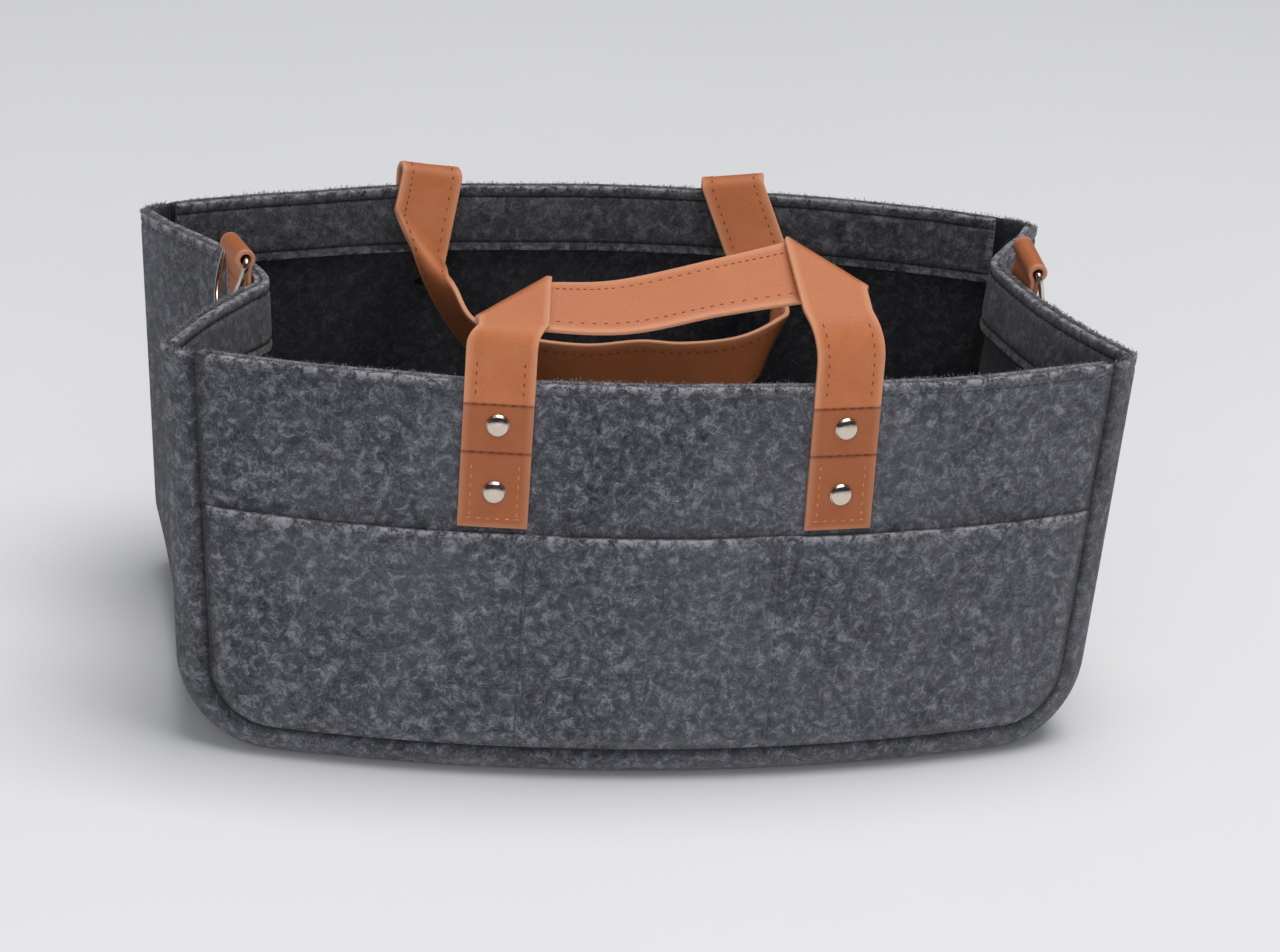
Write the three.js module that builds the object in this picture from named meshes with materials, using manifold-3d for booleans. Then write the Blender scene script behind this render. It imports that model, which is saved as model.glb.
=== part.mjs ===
// Felt nursing bag: an open-topped carrier sewn from thick grey felt, with two strap
// handles riveted to the long walls and a hanging ring at each pinched-in end.
// Millimetres. +X runs along the bag, +Y towards the back wall, +Z up from the base.

import * as THREE from 'three';
import { mergeVertices } from 'three/addons/utils/BufferGeometryUtils.js';
import Module from 'manifold-3d';

const wasm = await Module();
wasm.setup();

// Felt body: length, depth and height at the rim, and how far each long wall bulges
const BAG_LENGTH = 400;
const BAG_DEPTH = 278;
const BAG_HEIGHT = 168;
const FRONT_BOW = 40;
const BACK_BOW = 47;
const FELT = 3;
const END_LEAN = 10;
const BASE_BEND_RADIUS = 38;
const CORNER_RADIUS = 10;
const SEAM_LIP = 2.5;
const SEAM_GAP = 0.6;
const LAYER_GAP = 0.3;

// Ends folded inwards: plan shape as [share of the way from front corner to back
// corner, share of the fold's depth], and the heights between which the fold fades out
const LEFT_FOLD_DEPTH = 43;
const LEFT_FOLD = [
  [0, 0], [0.2, 0.38], [0.38, 0.8], [0.47, 1], [0.56, 0.94], [0.74, 0.6], [0.9, 0.2], [1, 0],
];
const RIGHT_FOLD_DEPTH = 28;
const RIGHT_FOLD = [
  [0, 0], [0.18, 0.42], [0.37, 0.75], [0.55, 0.93], [0.67, 1], [0.8, 0.66], [0.92, 0.22], [1, 0],
];
const FOLD_FADE_TOP = 95;
const FOLD_FADE_BOTTOM = 14;

// Outer pockets, whose top edge lies just below the handle anchors, and rim facings
const POCKET_ANCHOR_GAP = 2.5;
const POCKET_INSET = 1;
const FACING_DEPTH = 30;
const FACING_END_GAP = 2;

// Handle straps and their anchors, which start a little below the rim
const STRAP_WIDTH = 28;
const STRAP = 2.4;
const HANDLE_SPACING = 139;
const ANCHOR_DROP = 10;
const ANCHOR_LENGTH = 50;
const HINGE_GAP = 1.4;

// Front handle, lying inwards over the rim: rise above the rim, slope of the lean
// (degrees above level), length of the leaning part, its drift towards the middle, how far
// it is shifted that way at the bend, and the half length of the bend
const FRONT_LEFT_LEG = { rise: 20.4, slope: 25, reach: 6.8, drift: 0.13, shift: 4.1, bend: 5 };
const FRONT_RIGHT_LEG = { rise: 21.8, slope: 34, reach: 21.9, drift: 0.105, shift: 3.5, bend: 12 };

// Places of the front band between its two folds: share of the way, drop below the
// straight line and slope of its face in degrees
const FRONT_BAND = [
  { share: 0.33, drop: 6.4, tilt: 29 },
  { share: 0.67, drop: 2.7, tilt: 34 },
];

// Back handle, hanging down inside the bag: slope, length and drift of each leg, how far
// its inner edge leads at the crease, and the height and sideways tilt of its arch
const RIM_ARCH_CLEARANCE = 0.8;
const BACK_LEFT_LEG = { slope: -60, reach: 18, drift: -0.218, lead: 22.3, lift: 3.9, tilt: 9.4 };
const BACK_RIGHT_LEG = { slope: -58, reach: 33.3, drift: -0.318, lead: 1, lift: 1.5, tilt: 9.8 };

// Route of the back handle's band between its two creases: its greatest setback from the
// middle of the back wall and greatest drop below the rim, then its places as shares of
// the handle spacing, the setback and the drop, with the direction across the strap
const BACK_BAND_SETBACK = 95;
const BACK_BAND_DROP = 59;
const BACK_BAND = [
  { along: -0.475, setback: 0.584, drop: 0.585, across: [0.27, -0.88, 0.4] },
  { along: -0.41, setback: 0.742, drop: 0.788, across: [0.05, -0.78, 0.63] },
  { along: -0.288, setback: 0.889, drop: 0.932, across: [-0.1, -0.35, 0.93] },
  { along: -0.058, setback: 0.984, drop: 0.995, across: [0, -0.06, 1] },
  { along: 0.122, setback: 1, drop: 0.949, across: [0, -0.06, 1] },
  { along: 0.252, setback: 0.995, drop: 0.966, across: [0, -0.06, 1] },
  { along: 0.432, setback: 0.968, drop: 0.932, across: [0.1, 0.05, 0.99] },
  { along: 0.54, setback: 0.889, drop: 0.831, across: [0.3, 0.1, 0.95] },
  { along: 0.58, setback: 0.711, drop: 0.814, across: [0.44, 0.1, 0.89] },
  { along: 0.59, setback: 0.5, drop: 0.525, across: [-0.5, 0.2, 0.84] },
];

// Rivets: distances from the anchor's two ends, domed cap, post and closing cap
const UPPER_RIVET_INSET = 7;
const LOWER_RIVET_INSET = 15;
const RIVET_CAP_RADIUS = 4.8;
const RIVET_CAP_EDGE = 0.5;
const RIVET_DOME = 1.7;
const RIVET_POST_RADIUS = 1.5;
const RIVET_HOLE_CLEARANCE = 0.3;
const INNER_CAP_DOME = 1;

// Hanging rings and their tabs: place along the end, how far each ring stands away from
// its tab and how far the tab is tilted along the wall, in degrees
const TAB_WIDTH = 26;
const TAB_THICKNESS = 4;
const TAB_DROP = 34;
const TAB_ROLL_RISE = 9;
const TAB_ROLL_WALL = 2.2;
const RING_WIRE = 2.6;
const RING_BORE_CLEARANCE = 0.9;
const RING_SIDE_CLEARANCE = 1;
const RING_DEPTH = 26;
const RING_CORNER_RADIUS = 3;
const LEFT_TAB = { along: 0.535, swing: 20, tilt: 0 };
const RIGHT_TAB = { along: 0.58, swing: 20, tilt: 12 };

// Facets of the curved surfaces
const WALL_COLUMNS = 20;
const END_COLUMNS = 16;
const GUSSET_ROWS = 7;
const PANEL_ROWS = 6;
const POCKET_ROWS = 4;
const FACING_ROWS = 2;
const ANCHOR_ROWS = 2;
const ANCHOR_COLUMNS = 3;
const CORNER_STEPS = 4;
const BEND_STEPS = 5;
const BASE_STEPS = 10;
const LEG_BEND_STEPS = 4;
const STRAP_FOLD_STEPS = 4;
const FRONT_BAND_STEPS = 6;
const RIM_ARCH_STEPS = 7;
const BACK_BAND_STEPS = 3;
const DOME_STEPS = 3;
const ROUND_SIDES = 12;
const TAB_CURVE_SEGMENTS = 10;
const RING_SIDES = 8;
const RING_BAR_STEPS = 6;
const RING_CORNER_STEPS = 3;
const RING_BOW_STEPS = 14;

const COLOURS = { felt: 0x55585f, feltInside: 0x44474d, leather: 0xb86f3f, nickel: 0xc9c9c6 };

function finish(color, roughness, metalness) {
  return new THREE.MeshStandardMaterial({ color, roughness, metalness });
}

const felt = () => finish(COLOURS.felt, 0.95, 0);
const feltInside = () => finish(COLOURS.feltInside, 0.95, 0);
const leather = () => finish(COLOURS.leather, 0.5, 0);
const nickel = () => finish(COLOURS.nickel, 0.2, 1);

const bag = new THREE.Group();

function addMesh(name, geometry, material, parent = bag) {
  const mesh = new THREE.Mesh(geometry, material);
  mesh.name = name;
  parent.add(mesh);
  return mesh;
}

const range = (count) => Array.from({ length: count }, (_, index) => index);
const between = (low, high, count) => range(count + 1).map((step) => low + ((high - low) * step) / count);
const radians = THREE.MathUtils.degToRad;
const UP = new THREE.Vector3(0, 0, 1);

// Solids from grids

function geometryFrom(points, triangles) {
  const geometry = new THREE.BufferGeometry();
  const numbers = points.flatMap((point) => [point.x, point.y, point.z]);
  geometry.setAttribute('position', new THREE.Float32BufferAttribute(numbers, 3));
  geometry.setIndex(triangles.flat());
  return geometry;
}

function signedVolume(points, triangles) {
  return triangles.reduce((sum, [a, b, c]) => {
    const cross = new THREE.Vector3().crossVectors(points[b], points[c]);
    return sum + points[a].dot(cross) / 6;
  }, 0);
}

// Closed surface with its faces turned to point outwards
function closedSolid(points, triangles) {
  const inside = signedVolume(points, triangles) < 0;
  return geometryFrom(points, inside ? triangles.map(([a, b, c]) => [a, c, b]) : triangles);
}

// Closed solid between two grids of points that have the same rows and columns
function solidBetween(near, far) {
  const rows = near.length;
  const columns = near[0].length;
  const at = (layer, row, column) => layer * rows * columns + row * columns + column;
  const triangles = [];
  const quad = (a, b, c, d) => triangles.push([a, b, c], [a, c, d]);
  for (let row = 0; row < rows - 1; row += 1) {
    for (let column = 0; column < columns - 1; column += 1) {
      quad(at(0, row, column), at(0, row + 1, column), at(0, row + 1, column + 1), at(0, row, column + 1));
      quad(at(1, row, column), at(1, row, column + 1), at(1, row + 1, column + 1), at(1, row + 1, column));
    }
  }
  for (let row = 0; row < rows - 1; row += 1) {
    const last = columns - 1;
    quad(at(0, row, 0), at(1, row, 0), at(1, row + 1, 0), at(0, row + 1, 0));
    quad(at(0, row, last), at(0, row + 1, last), at(1, row + 1, last), at(1, row, last));
  }
  for (let column = 0; column < columns - 1; column += 1) {
    const last = rows - 1;
    quad(at(0, 0, column), at(0, 0, column + 1), at(1, 0, column + 1), at(1, 0, column));
    quad(at(0, last, column), at(1, last, column), at(1, last, column + 1), at(0, last, column + 1));
  }
  return closedSolid([...near.flat(), ...far.flat()], triangles);
}

// Unit normals of a grid, from the neighbours along its rows and columns
function gridNormals(grid) {
  return grid.map((line, row) => line.map((_, column) => {
    const below = grid[Math.min(row + 1, grid.length - 1)][column];
    const above = grid[Math.max(row - 1, 0)][column];
    const right = line[Math.min(column + 1, line.length - 1)];
    const left = line[Math.max(column - 1, 0)];
    const across = new THREE.Vector3().subVectors(right, left);
    const down = new THREE.Vector3().subVectors(below, above);
    return across.cross(down).normalize();
  }));
}

// Sheet of cloth between two depths behind a surface; a negative depth is in front of it.
// A trim leaves out that many columns at either edge.
function sheetSolid(grid, nearDepth, farDepth, inward, trim = 0) {
  const normals = gridNormals(grid);
  const layer = (depth) => grid.map((line, row) => line.map((point, column) => {
    const normal = normals[row][column];
    const sign = Math.sign(normal.dot(inward(point)));
    return point.clone().addScaledVector(normal, sign * depth);
  }).slice(trim, line.length - trim));
  return solidBetween(layer(nearDepth), layer(farDepth));
}

// Boolean cuts

function toManifold(geometry) {
  const bare = geometry.clone();
  bare.deleteAttribute('normal');
  bare.deleteAttribute('uv');
  const merged = mergeVertices(bare, 1e-4);
  return new wasm.Manifold(new wasm.Mesh({
    numProp: 3,
    vertProperties: new Float32Array(merged.attributes.position.array),
    triVerts: new Uint32Array(merged.index.array),
  }));
}

function fromManifold(solid) {
  const { vertProperties, triVerts } = solid.getMesh();
  const geometry = new THREE.BufferGeometry();
  geometry.setAttribute('position', new THREE.BufferAttribute(vertProperties, 3));
  geometry.setIndex(new THREE.BufferAttribute(triVerts, 1));
  return geometry;
}

function cut(geometry, tools) {
  return fromManifold(tools.reduce((solid, tool) => solid.subtract(toManifold(tool)), toManifold(geometry)));
}

// Long walls: bowed outwards in plan, upright

const HALF_LENGTH = BAG_LENGTH / 2;
const CORNER_DEPTH = BAG_DEPTH - FRONT_BOW - BACK_BOW;
const HALF_DEPTH = CORNER_DEPTH / 2;
const SIDES = ['front', 'back'];
const BOW = { front: FRONT_BOW, back: BACK_BOW };
const SIDE_SIGN = { front: -1, back: 1 };
const HAND_SIGN = { left: -1, right: 1 };
const HANDS = Object.keys(HAND_SIGN);
const intoBag = { front: () => new THREE.Vector3(0, 1, 0), back: () => new THREE.Vector3(0, -1, 0) };

function wallY(side, x) {
  const share = 1 - (x / HALF_LENGTH) ** 2;
  return SIDE_SIGN[side] * (HALF_DEPTH + BOW[side] * share);
}

// Unit normal of a long wall at x, pointing out of the bag
function wallNormal(side, x) {
  const slope = (-2 * BOW[side] * x) / HALF_LENGTH ** 2;
  return new THREE.Vector3(-slope, SIDE_SIGN[side], 0).normalize();
}

// Point at a depth behind the outer face of a long wall
function wallPoint(side, x, z, depth) {
  return new THREE.Vector3(x, wallY(side, x), z).addScaledVector(wallNormal(side, x), -depth);
}

// End profile, seen from the front: a leaning side, the bend into the base, the flat base

const LEAN = Math.atan(END_LEAN / (BAG_HEIGHT - BASE_BEND_RADIUS));
const SIDE_LENGTH = (BAG_HEIGHT - BASE_BEND_RADIUS * (1 - Math.sin(LEAN))) / Math.cos(LEAN);
const BEND_CENTRE_X = HALF_LENGTH - SIDE_LENGTH * Math.sin(LEAN) - BASE_BEND_RADIUS * Math.cos(LEAN);

// Profile places of the left half, from a height on the side down to the start of the
// base. Their normals point into the bag, and are level along the leaning side.
function halfProfile(topHeight, sideSteps, bendSteps) {
  const topRun = (BAG_HEIGHT - topHeight) / Math.cos(LEAN);
  const side = between(topRun, SIDE_LENGTH, sideSteps).map((run) => ({
    x: -HALF_LENGTH + run * Math.sin(LEAN),
    z: BAG_HEIGHT - run * Math.cos(LEAN),
    normal: { x: 1, z: 0 },
  }));
  const bend = between(LEAN, Math.PI / 2, bendSteps).slice(1).map((angle) => ({
    x: -BEND_CENTRE_X - BASE_BEND_RADIUS * Math.cos(angle),
    z: BASE_BEND_RADIUS * (1 - Math.sin(angle)),
    normal: { x: Math.cos(angle), z: Math.sin(angle) },
  }));
  return [...side, ...bend];
}

const mirrored = ({ x, z, normal }) => ({ x: -x, z, normal: { x: -normal.x, z: normal.z } });

function inset({ x, z, normal }, depth) {
  return { x: x + normal.x * depth, z: z + normal.z * depth };
}

// Profile place on the leaning side of one end, at a height
function endPlace(end, z) {
  const [left] = halfProfile(z, 1, 1);
  return end === 'left' ? left : mirrored(left);
}

// Grid of a long wall's outer face inside the seam, rows from a height down to the base
function wallGrid(side, topHeight, edgeInset, sideSteps) {
  return halfProfile(topHeight, sideSteps, BEND_STEPS).map((place) => {
    const edge = inset(place, edgeInset);
    return between(edge.x, -edge.x, WALL_COLUMNS).map((x) => new THREE.Vector3(x, wallY(side, x), edge.z));
  });
}

// Ends: the gusset, one strip that runs down the left end, along the base and up the
// right end, with rounded corners that lap onto the long walls

const SEAM_INSET = CORNER_RADIUS + SEAM_LIP;
const gussetSeam = SEAM_INSET - SEAM_GAP / 2;
const panelSeam = SEAM_INSET + SEAM_GAP / 2;

function foldCurve(shares) {
  const points = shares.map(([along, depth]) => new THREE.Vector3(along, depth, 0));
  return new THREE.CatmullRomCurve3(points, false, 'centripetal');
}

const FOLDS = {
  left: { curve: foldCurve(LEFT_FOLD), depth: LEFT_FOLD_DEPTH },
  right: { curve: foldCurve(RIGHT_FOLD), depth: RIGHT_FOLD_DEPTH },
};

// Section of the gusset at a profile place: points [inset from the profile, y] from the
// front seam, round the front corner, along the end and round the back corner to the
// back seam
function gussetSection(place, end) {
  const frontAt = (depth) => wallY('front', inset(place, depth).x);
  const backAt = (depth) => wallY('back', inset(place, depth).x);
  const corner = between(0, Math.PI / 2, CORNER_STEPS).map((angle) => ({
    depth: CORNER_RADIUS * (1 - Math.sin(angle)),
    turn: CORNER_RADIUS * (1 - Math.cos(angle)),
  }));
  const frontCorner = corner.map(({ depth, turn }) => [depth, frontAt(depth) + turn]);
  const backCorner = corner.map(({ depth, turn }) => [depth, backAt(depth) - turn]).reverse();
  const frontY = frontCorner[CORNER_STEPS][1];
  const backY = backCorner[0][1];
  const fold = FOLDS[end];
  const foldDepth = fold.depth * THREE.MathUtils.smoothstep(place.z, FOLD_FADE_BOTTOM, FOLD_FADE_TOP);
  const wall = between(0, 1, END_COLUMNS).slice(1, -1).map((step) => {
    const { x: along, y: depth } = fold.curve.getPoint(step);
    return [depth * foldDepth, THREE.MathUtils.lerp(frontY, backY, along)];
  });
  const frontSeam = [gussetSeam, frontAt(gussetSeam)];
  const backSeam = [gussetSeam, backAt(gussetSeam)];
  return [frontSeam, ...frontCorner, ...wall, ...backCorner, backSeam];
}

function sectionRow(place, end) {
  return gussetSection(place, end).map(([depth, y]) => {
    const { x, z } = inset(place, depth);
    return new THREE.Vector3(x, y, z);
  });
}

const leftPlaces = halfProfile(BAG_HEIGHT, GUSSET_ROWS, BEND_STEPS);
const rightPlaces = leftPlaces.map(mirrored).reverse();
const basePlaces = between(-BEND_CENTRE_X, BEND_CENTRE_X, BASE_STEPS).slice(1, -1)
  .map((x) => ({ x, z: 0, normal: { x: 0, z: 1 } }));
const gussetGrid = [
  ...[...leftPlaces, ...basePlaces].map((place) => sectionRow(place, 'left')),
  ...rightPlaces.map((place) => sectionRow(place, 'right')),
];

const bagMiddle = new THREE.Vector3(0, 0, BAG_HEIGHT / 2);
const towardsMiddle = (point) => new THREE.Vector3().subVectors(bagMiddle, point);

// Depths of the riveted stack, from the strap's outer face to the facing's inner face
const strapNear = -LAYER_GAP;
const strapFar = strapNear - STRAP;
const facingNear = FELT + LAYER_GAP;
const facingFar = facingNear + FELT;

// Heights of the anchors, their rivets and the pockets, which hang on the rim's height
const anchorTop = BAG_HEIGHT - ANCHOR_DROP;
const anchorBottom = anchorTop - ANCHOR_LENGTH;
const pocketTop = anchorBottom - POCKET_ANCHOR_GAP;
const RIVET_HEIGHTS = { lower: anchorBottom + LOWER_RIVET_INSET, upper: anchorTop - UPPER_RIVET_INSET };

// Rivets: their places on the long walls, and the holes that they pass through

const legX = (hand) => (HAND_SIGN[hand] * HANDLE_SPACING) / 2;
const rivetSpots = SIDES.flatMap((side) => HANDS.flatMap((hand) => (
  Object.keys(RIVET_HEIGHTS).map((level) => ({ side, hand, level }))
)));

// Turns a piece made along +Y to point out of a long wall at x
function alongNormal(geometry, side, x) {
  const turn = new THREE.Quaternion().setFromUnitVectors(new THREE.Vector3(0, 1, 0), wallNormal(side, x));
  return geometry.applyQuaternion(turn);
}

function rivetHole({ side, hand, level }) {
  const radius = RIVET_POST_RADIUS + RIVET_HOLE_CLEARANCE;
  const reach = 2 * (facingFar - strapFar);
  const drill = alongNormal(new THREE.CylinderGeometry(radius, radius, reach, ROUND_SIDES), side, legX(hand));
  const middle = wallPoint(side, legX(hand), RIVET_HEIGHTS[level], (strapFar + facingFar) / 2);
  return drill.translate(middle.x, middle.y, middle.z);
}

const holesOf = (test) => rivetSpots.filter(test).map(rivetHole);

// Felt pieces

for (const side of SIDES) {
  const panel = sheetSolid(wallGrid(side, BAG_HEIGHT, panelSeam, PANEL_ROWS), 0, FELT, intoBag[side]);
  addMesh(`${side}_panel`, cut(panel, holesOf((spot) => spot.side === side)), felt());

  const pocketGrid = wallGrid(side, pocketTop, panelSeam + POCKET_INSET, POCKET_ROWS);
  addMesh(`${side}_pocket`, sheetSolid(pocketGrid, -LAYER_GAP, -LAYER_GAP - FELT, intoBag[side]), felt());
}

addMesh('gusset', sheetSolid(gussetGrid, 0, FELT, towardsMiddle), felt());

// Facings line the rim: straight strips on the long walls, and strips on the ends that
// follow the gusset between its two corners
const facingHeights = between(BAG_HEIGHT, BAG_HEIGHT - FACING_DEPTH, FACING_ROWS);

for (const side of SIDES) {
  const halfWidth = HALF_LENGTH - SEAM_INSET - FACING_END_GAP;
  const grid = facingHeights.map((z) => (
    between(-halfWidth, halfWidth, WALL_COLUMNS).map((x) => new THREE.Vector3(x, wallY(side, x), z))
  ));
  const strip = sheetSolid(grid, facingNear, facingFar, intoBag[side]);
  const upperHoles = holesOf((spot) => spot.side === side && spot.level === 'upper');
  addMesh(`${side}_rim_facing`, cut(strip, upperHoles), feltInside());
}

const cornerColumns = CORNER_STEPS + 1;
for (const end of HANDS) {
  const grid = facingHeights.map((z) => sectionRow(endPlace(end, z), end));
  const strip = sheetSolid(grid, facingNear, facingFar, towardsMiddle, cornerColumns);
  addMesh(`${end}_rim_facing`, strip, feltInside());
}

// Anchors: the riveted ends of the handle straps, flat on the long walls

for (const side of SIDES) {
  for (const hand of HANDS) {
    const [near, far] = [-1, 1].map((sign) => legX(hand) + (sign * STRAP_WIDTH) / 2);
    const grid = between(anchorBottom, anchorTop, ANCHOR_ROWS)
      .map((z) => between(near, far, ANCHOR_COLUMNS).map((x) => new THREE.Vector3(x, wallY(side, x), z)));
    const strip = sheetSolid(grid, strapNear, strapFar, intoBag[side]);
    const holes = holesOf((spot) => spot.side === side && spot.hand === hand);
    addMesh(`${side}_handle_anchor_${hand}`, cut(strip, holes), leather());
  }
}

// Handle straps: a strap is a run of stations, each an outer and an inner edge point. The
// inner edge may lead the outer one along the strap.

function strapStation(mid, across, lead = 0, along = new THREE.Vector3()) {
  const half = across.clone().multiplyScalar(STRAP_WIDTH / 2).addScaledVector(along, lead / 2);
  return { outer: mid.clone().sub(half), inner: mid.clone().add(half) };
}

const middleOf = ({ outer, inner }) => outer.clone().lerp(inner, 0.5);

function strapSolid(stations) {
  const direction = (from, to) => new THREE.Vector3().subVectors(to, from).normalize();
  const middles = stations.map(middleOf);
  const last = stations.length - 1;
  const normals = stations.map(({ outer, inner }, index) => {
    const along = new THREE.Vector3();
    if (index > 0) along.add(direction(middles[index - 1], middles[index]));
    if (index < last) along.add(direction(middles[index], middles[index + 1]));
    return along.cross(new THREE.Vector3().subVectors(inner, outer)).normalize();
  });
  const layer = (offset) => stations.map(({ outer, inner }, index) => (
    [outer, inner].map((point) => point.clone().addScaledVector(normals[index], offset))
  ));
  return solidBetween(layer(STRAP / 2), layer(-STRAP / 2));
}

// Middle and direction across of a leg that lies against a long wall
function wallLeg(side, hand, z) {
  const x = legX(hand);
  const tangent = UP.clone().cross(wallNormal(side, x));
  const across = tangent.multiplyScalar(-HAND_SIGN[hand] * Math.sign(tangent.x));
  return { mid: wallPoint(side, x, z, (strapNear + strapFar) / 2), across };
}

const legStart = anchorTop + HINGE_GAP;

// Direction of a leaning leg: towards the middle by its drift, into the bag, up by its slope
function leanDirection(side, hand, { slope, drift }) {
  const angle = radians(slope);
  const sideways = -HAND_SIGN[hand] * drift;
  return new THREE.Vector3(sideways, -SIDE_SIGN[side] * Math.cos(angle), Math.sin(angle)).normalize();
}

// Front leg: up the wall, a bend above the rim, the leaning part, and the diagonal fold
function frontLeg(hand, leg) {
  const { mid, across } = wallLeg('front', hand, legStart);
  const lean = leanDirection('front', hand, leg);
  const corner = mid.clone().setZ(BAG_HEIGHT + leg.rise);
  const levelAcross = new THREE.Vector3(-HAND_SIGN[hand], 0, 0);
  const shifted = corner.clone().addScaledVector(levelAcross, leg.shift);

  const upright = [legStart, BAG_HEIGHT, corner.z - leg.bend]
    .map((z) => strapStation(mid.clone().setZ(z), across));
  const bend = between(0, 1, LEG_BEND_STEPS).slice(1).map((share) => {
    const before = corner.clone().addScaledVector(UP, -leg.bend * (1 - share));
    const after = corner.clone().lerp(shifted, share).addScaledVector(lean, leg.bend * share);
    return strapStation(before.lerp(after, share), across.clone().lerp(levelAcross, share).normalize());
  });

  const foldLead = STRAP_WIDTH;
  const foldMid = shifted.clone().addScaledVector(lean, leg.reach + foldLead / 2);
  const cross = lean.clone().cross(levelAcross).normalize();
  const faceNormal = cross.multiplyScalar(Math.sign(cross.z));
  const square = new THREE.Vector3().crossVectors(faceNormal, lean).normalize();
  const foldAcross = square.multiplyScalar(Math.sign(square.dot(levelAcross)));
  const foldRadius = STRAP / 2 + LAYER_GAP;
  const away = lean.clone().sub(foldAcross).normalize();
  const fold = between(0, Math.PI, STRAP_FOLD_STEPS).map((angle) => {
    const place = foldMid.clone()
      .addScaledVector(faceNormal, foldRadius * (Math.cos(angle) - 1))
      .addScaledVector(away, foldRadius * Math.sin(angle));
    return strapStation(place, foldAcross, foldLead, lean);
  });
  return [...upright, ...bend, ...fold];
}

// Stations of a band that passes through guide stations, without its two ends
function bandThrough(guides, steps) {
  const [outer, inner] = ['outer', 'inner'].map((name) => (
    new THREE.CatmullRomCurve3(guides.map((guide) => guide[name]), false, 'centripetal')
  ));
  return between(0, 1, steps * (guides.length - 1)).slice(1, -1)
    .map((share) => ({ outer: outer.getPoint(share), inner: inner.getPoint(share) }));
}

// Front band between the two folds: it twists to stand steeper on its way, where it sags
function frontBand(from, to) {
  const places = FRONT_BAND.map(({ share, drop, tilt }) => {
    const mid = middleOf(from).lerp(middleOf(to), share).addScaledVector(UP, -drop);
    return strapStation(mid, new THREE.Vector3(0, Math.cos(radians(tilt)), Math.sin(radians(tilt))));
  });
  return bandThrough([from, ...places, to], FRONT_BAND_STEPS);
}

function frontHandle() {
  const left = frontLeg('left', FRONT_LEFT_LEG);
  const right = frontLeg('right', FRONT_RIGHT_LEG);
  return [...left, ...frontBand(left.at(-1), right.at(-1)), ...right.reverse()];
}

// Back leg: up the wall, over the rim, down inside, ending at a skewed crease. Its arch
// tilts sideways, so that its outer edge is the higher one.
function backLeg(hand, leg) {
  const { mid, across } = wallLeg('back', hand, legStart);
  const inward = wallNormal('back', legX(hand)).negate();
  const archRadius = (facingFar + LAYER_GAP + STRAP + RIM_ARCH_CLEARANCE) / 2;
  const archCentre = mid.clone().setZ(BAG_HEIGHT + leg.lift).addScaledVector(inward, archRadius);
  const archPoint = (angle) => archCentre.clone()
    .addScaledVector(inward, -archRadius * Math.cos(angle))
    .addScaledVector(UP, archRadius * Math.sin(angle));
  const archEnd = Math.PI / 2 + radians(-leg.slope);
  const tilted = across.clone().addScaledVector(UP, -Math.tan(radians(leg.tilt))).normalize();
  const archAcross = (angle) => across.clone().lerp(tilted, Math.min(2 * angle / Math.PI, 1)).normalize();

  const upright = [legStart, archCentre.z].map((z) => strapStation(mid.clone().setZ(z), across));
  const arch = between(0, archEnd, RIM_ARCH_STEPS).slice(1)
    .map((angle) => strapStation(archPoint(angle), archAcross(angle)));
  const lean = leanDirection('back', hand, leg);
  const creaseMid = archPoint(archEnd).addScaledVector(lean, leg.reach + Math.abs(leg.lead) / 2);
  return [...upright, ...arch, strapStation(creaseMid, tilted, leg.lead, lean)];
}

function backHandle() {
  const left = backLeg('left', BACK_LEFT_LEG);
  const right = backLeg('right', BACK_RIGHT_LEG);
  const places = BACK_BAND.map(({ along, setback, drop, across }) => {
    const mid = new THREE.Vector3(
      along * HANDLE_SPACING,
      wallY('back', 0) - setback * BACK_BAND_SETBACK,
      BAG_HEIGHT - drop * BACK_BAND_DROP,
    );
    return strapStation(mid, new THREE.Vector3(...across).normalize());
  });
  const band = bandThrough([left.at(-1), ...places, right.at(-1)], BACK_BAND_STEPS);
  return [...left, ...band, ...right.reverse()];
}

addMesh('front_handle_strap', strapSolid(frontHandle()), leather());
addMesh('back_handle_strap', strapSolid(backHandle()), leather());

// Rivet caps outside with their posts, and the closing caps inside. The upper rivets
// pass through the facing too.

function domeProfile(dome) {
  const curve = between(0, Math.PI / 2, DOME_STEPS).slice(0, -1).map((angle) => (
    new THREE.Vector2(RIVET_CAP_RADIUS * Math.cos(angle), RIVET_CAP_EDGE + dome * Math.sin(angle))
  ));
  return [new THREE.Vector2(RIVET_CAP_RADIUS, 0), ...curve, new THREE.Vector2(0, RIVET_CAP_EDGE + dome)];
}

for (const spot of rivetSpots) {
  const { side, hand, level } = spot;
  const x = legX(hand);
  const innerDepth = level === 'upper' ? facingFar : FELT;
  const capDepth = strapFar - LAYER_GAP;
  const postLength = innerDepth - capDepth;

  const capProfile = [
    new THREE.Vector2(0, -postLength),
    new THREE.Vector2(RIVET_POST_RADIUS, -postLength),
    new THREE.Vector2(RIVET_POST_RADIUS, 0),
    ...domeProfile(RIVET_DOME),
  ];
  const cap = alongNormal(new THREE.LatheGeometry(capProfile, ROUND_SIDES), side, x);
  const capPlace = wallPoint(side, x, RIVET_HEIGHTS[level], capDepth);
  addMesh(`rivet_${side}_${hand}_${level}`, cap, nickel()).position.copy(capPlace);

  const innerProfile = [new THREE.Vector2(0, 0), ...domeProfile(INNER_CAP_DOME)];
  const innerCap = alongNormal(new THREE.LatheGeometry(innerProfile, ROUND_SIDES).rotateX(Math.PI), side, x);
  const innerPlace = wallPoint(side, x, RIVET_HEIGHTS[level], innerDepth + LAYER_GAP);
  addMesh(`rivet_inner_${side}_${hand}_${level}`, innerCap, nickel()).position.copy(innerPlace);
}

// Ring tabs: a doubled strip on the outside of the folded end, rolled round the ring's bar

const ringBoreRadius = RING_WIRE / 2 + RING_BORE_CLEARANCE;
const rollRadius = ringBoreRadius + TAB_ROLL_WALL;

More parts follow.
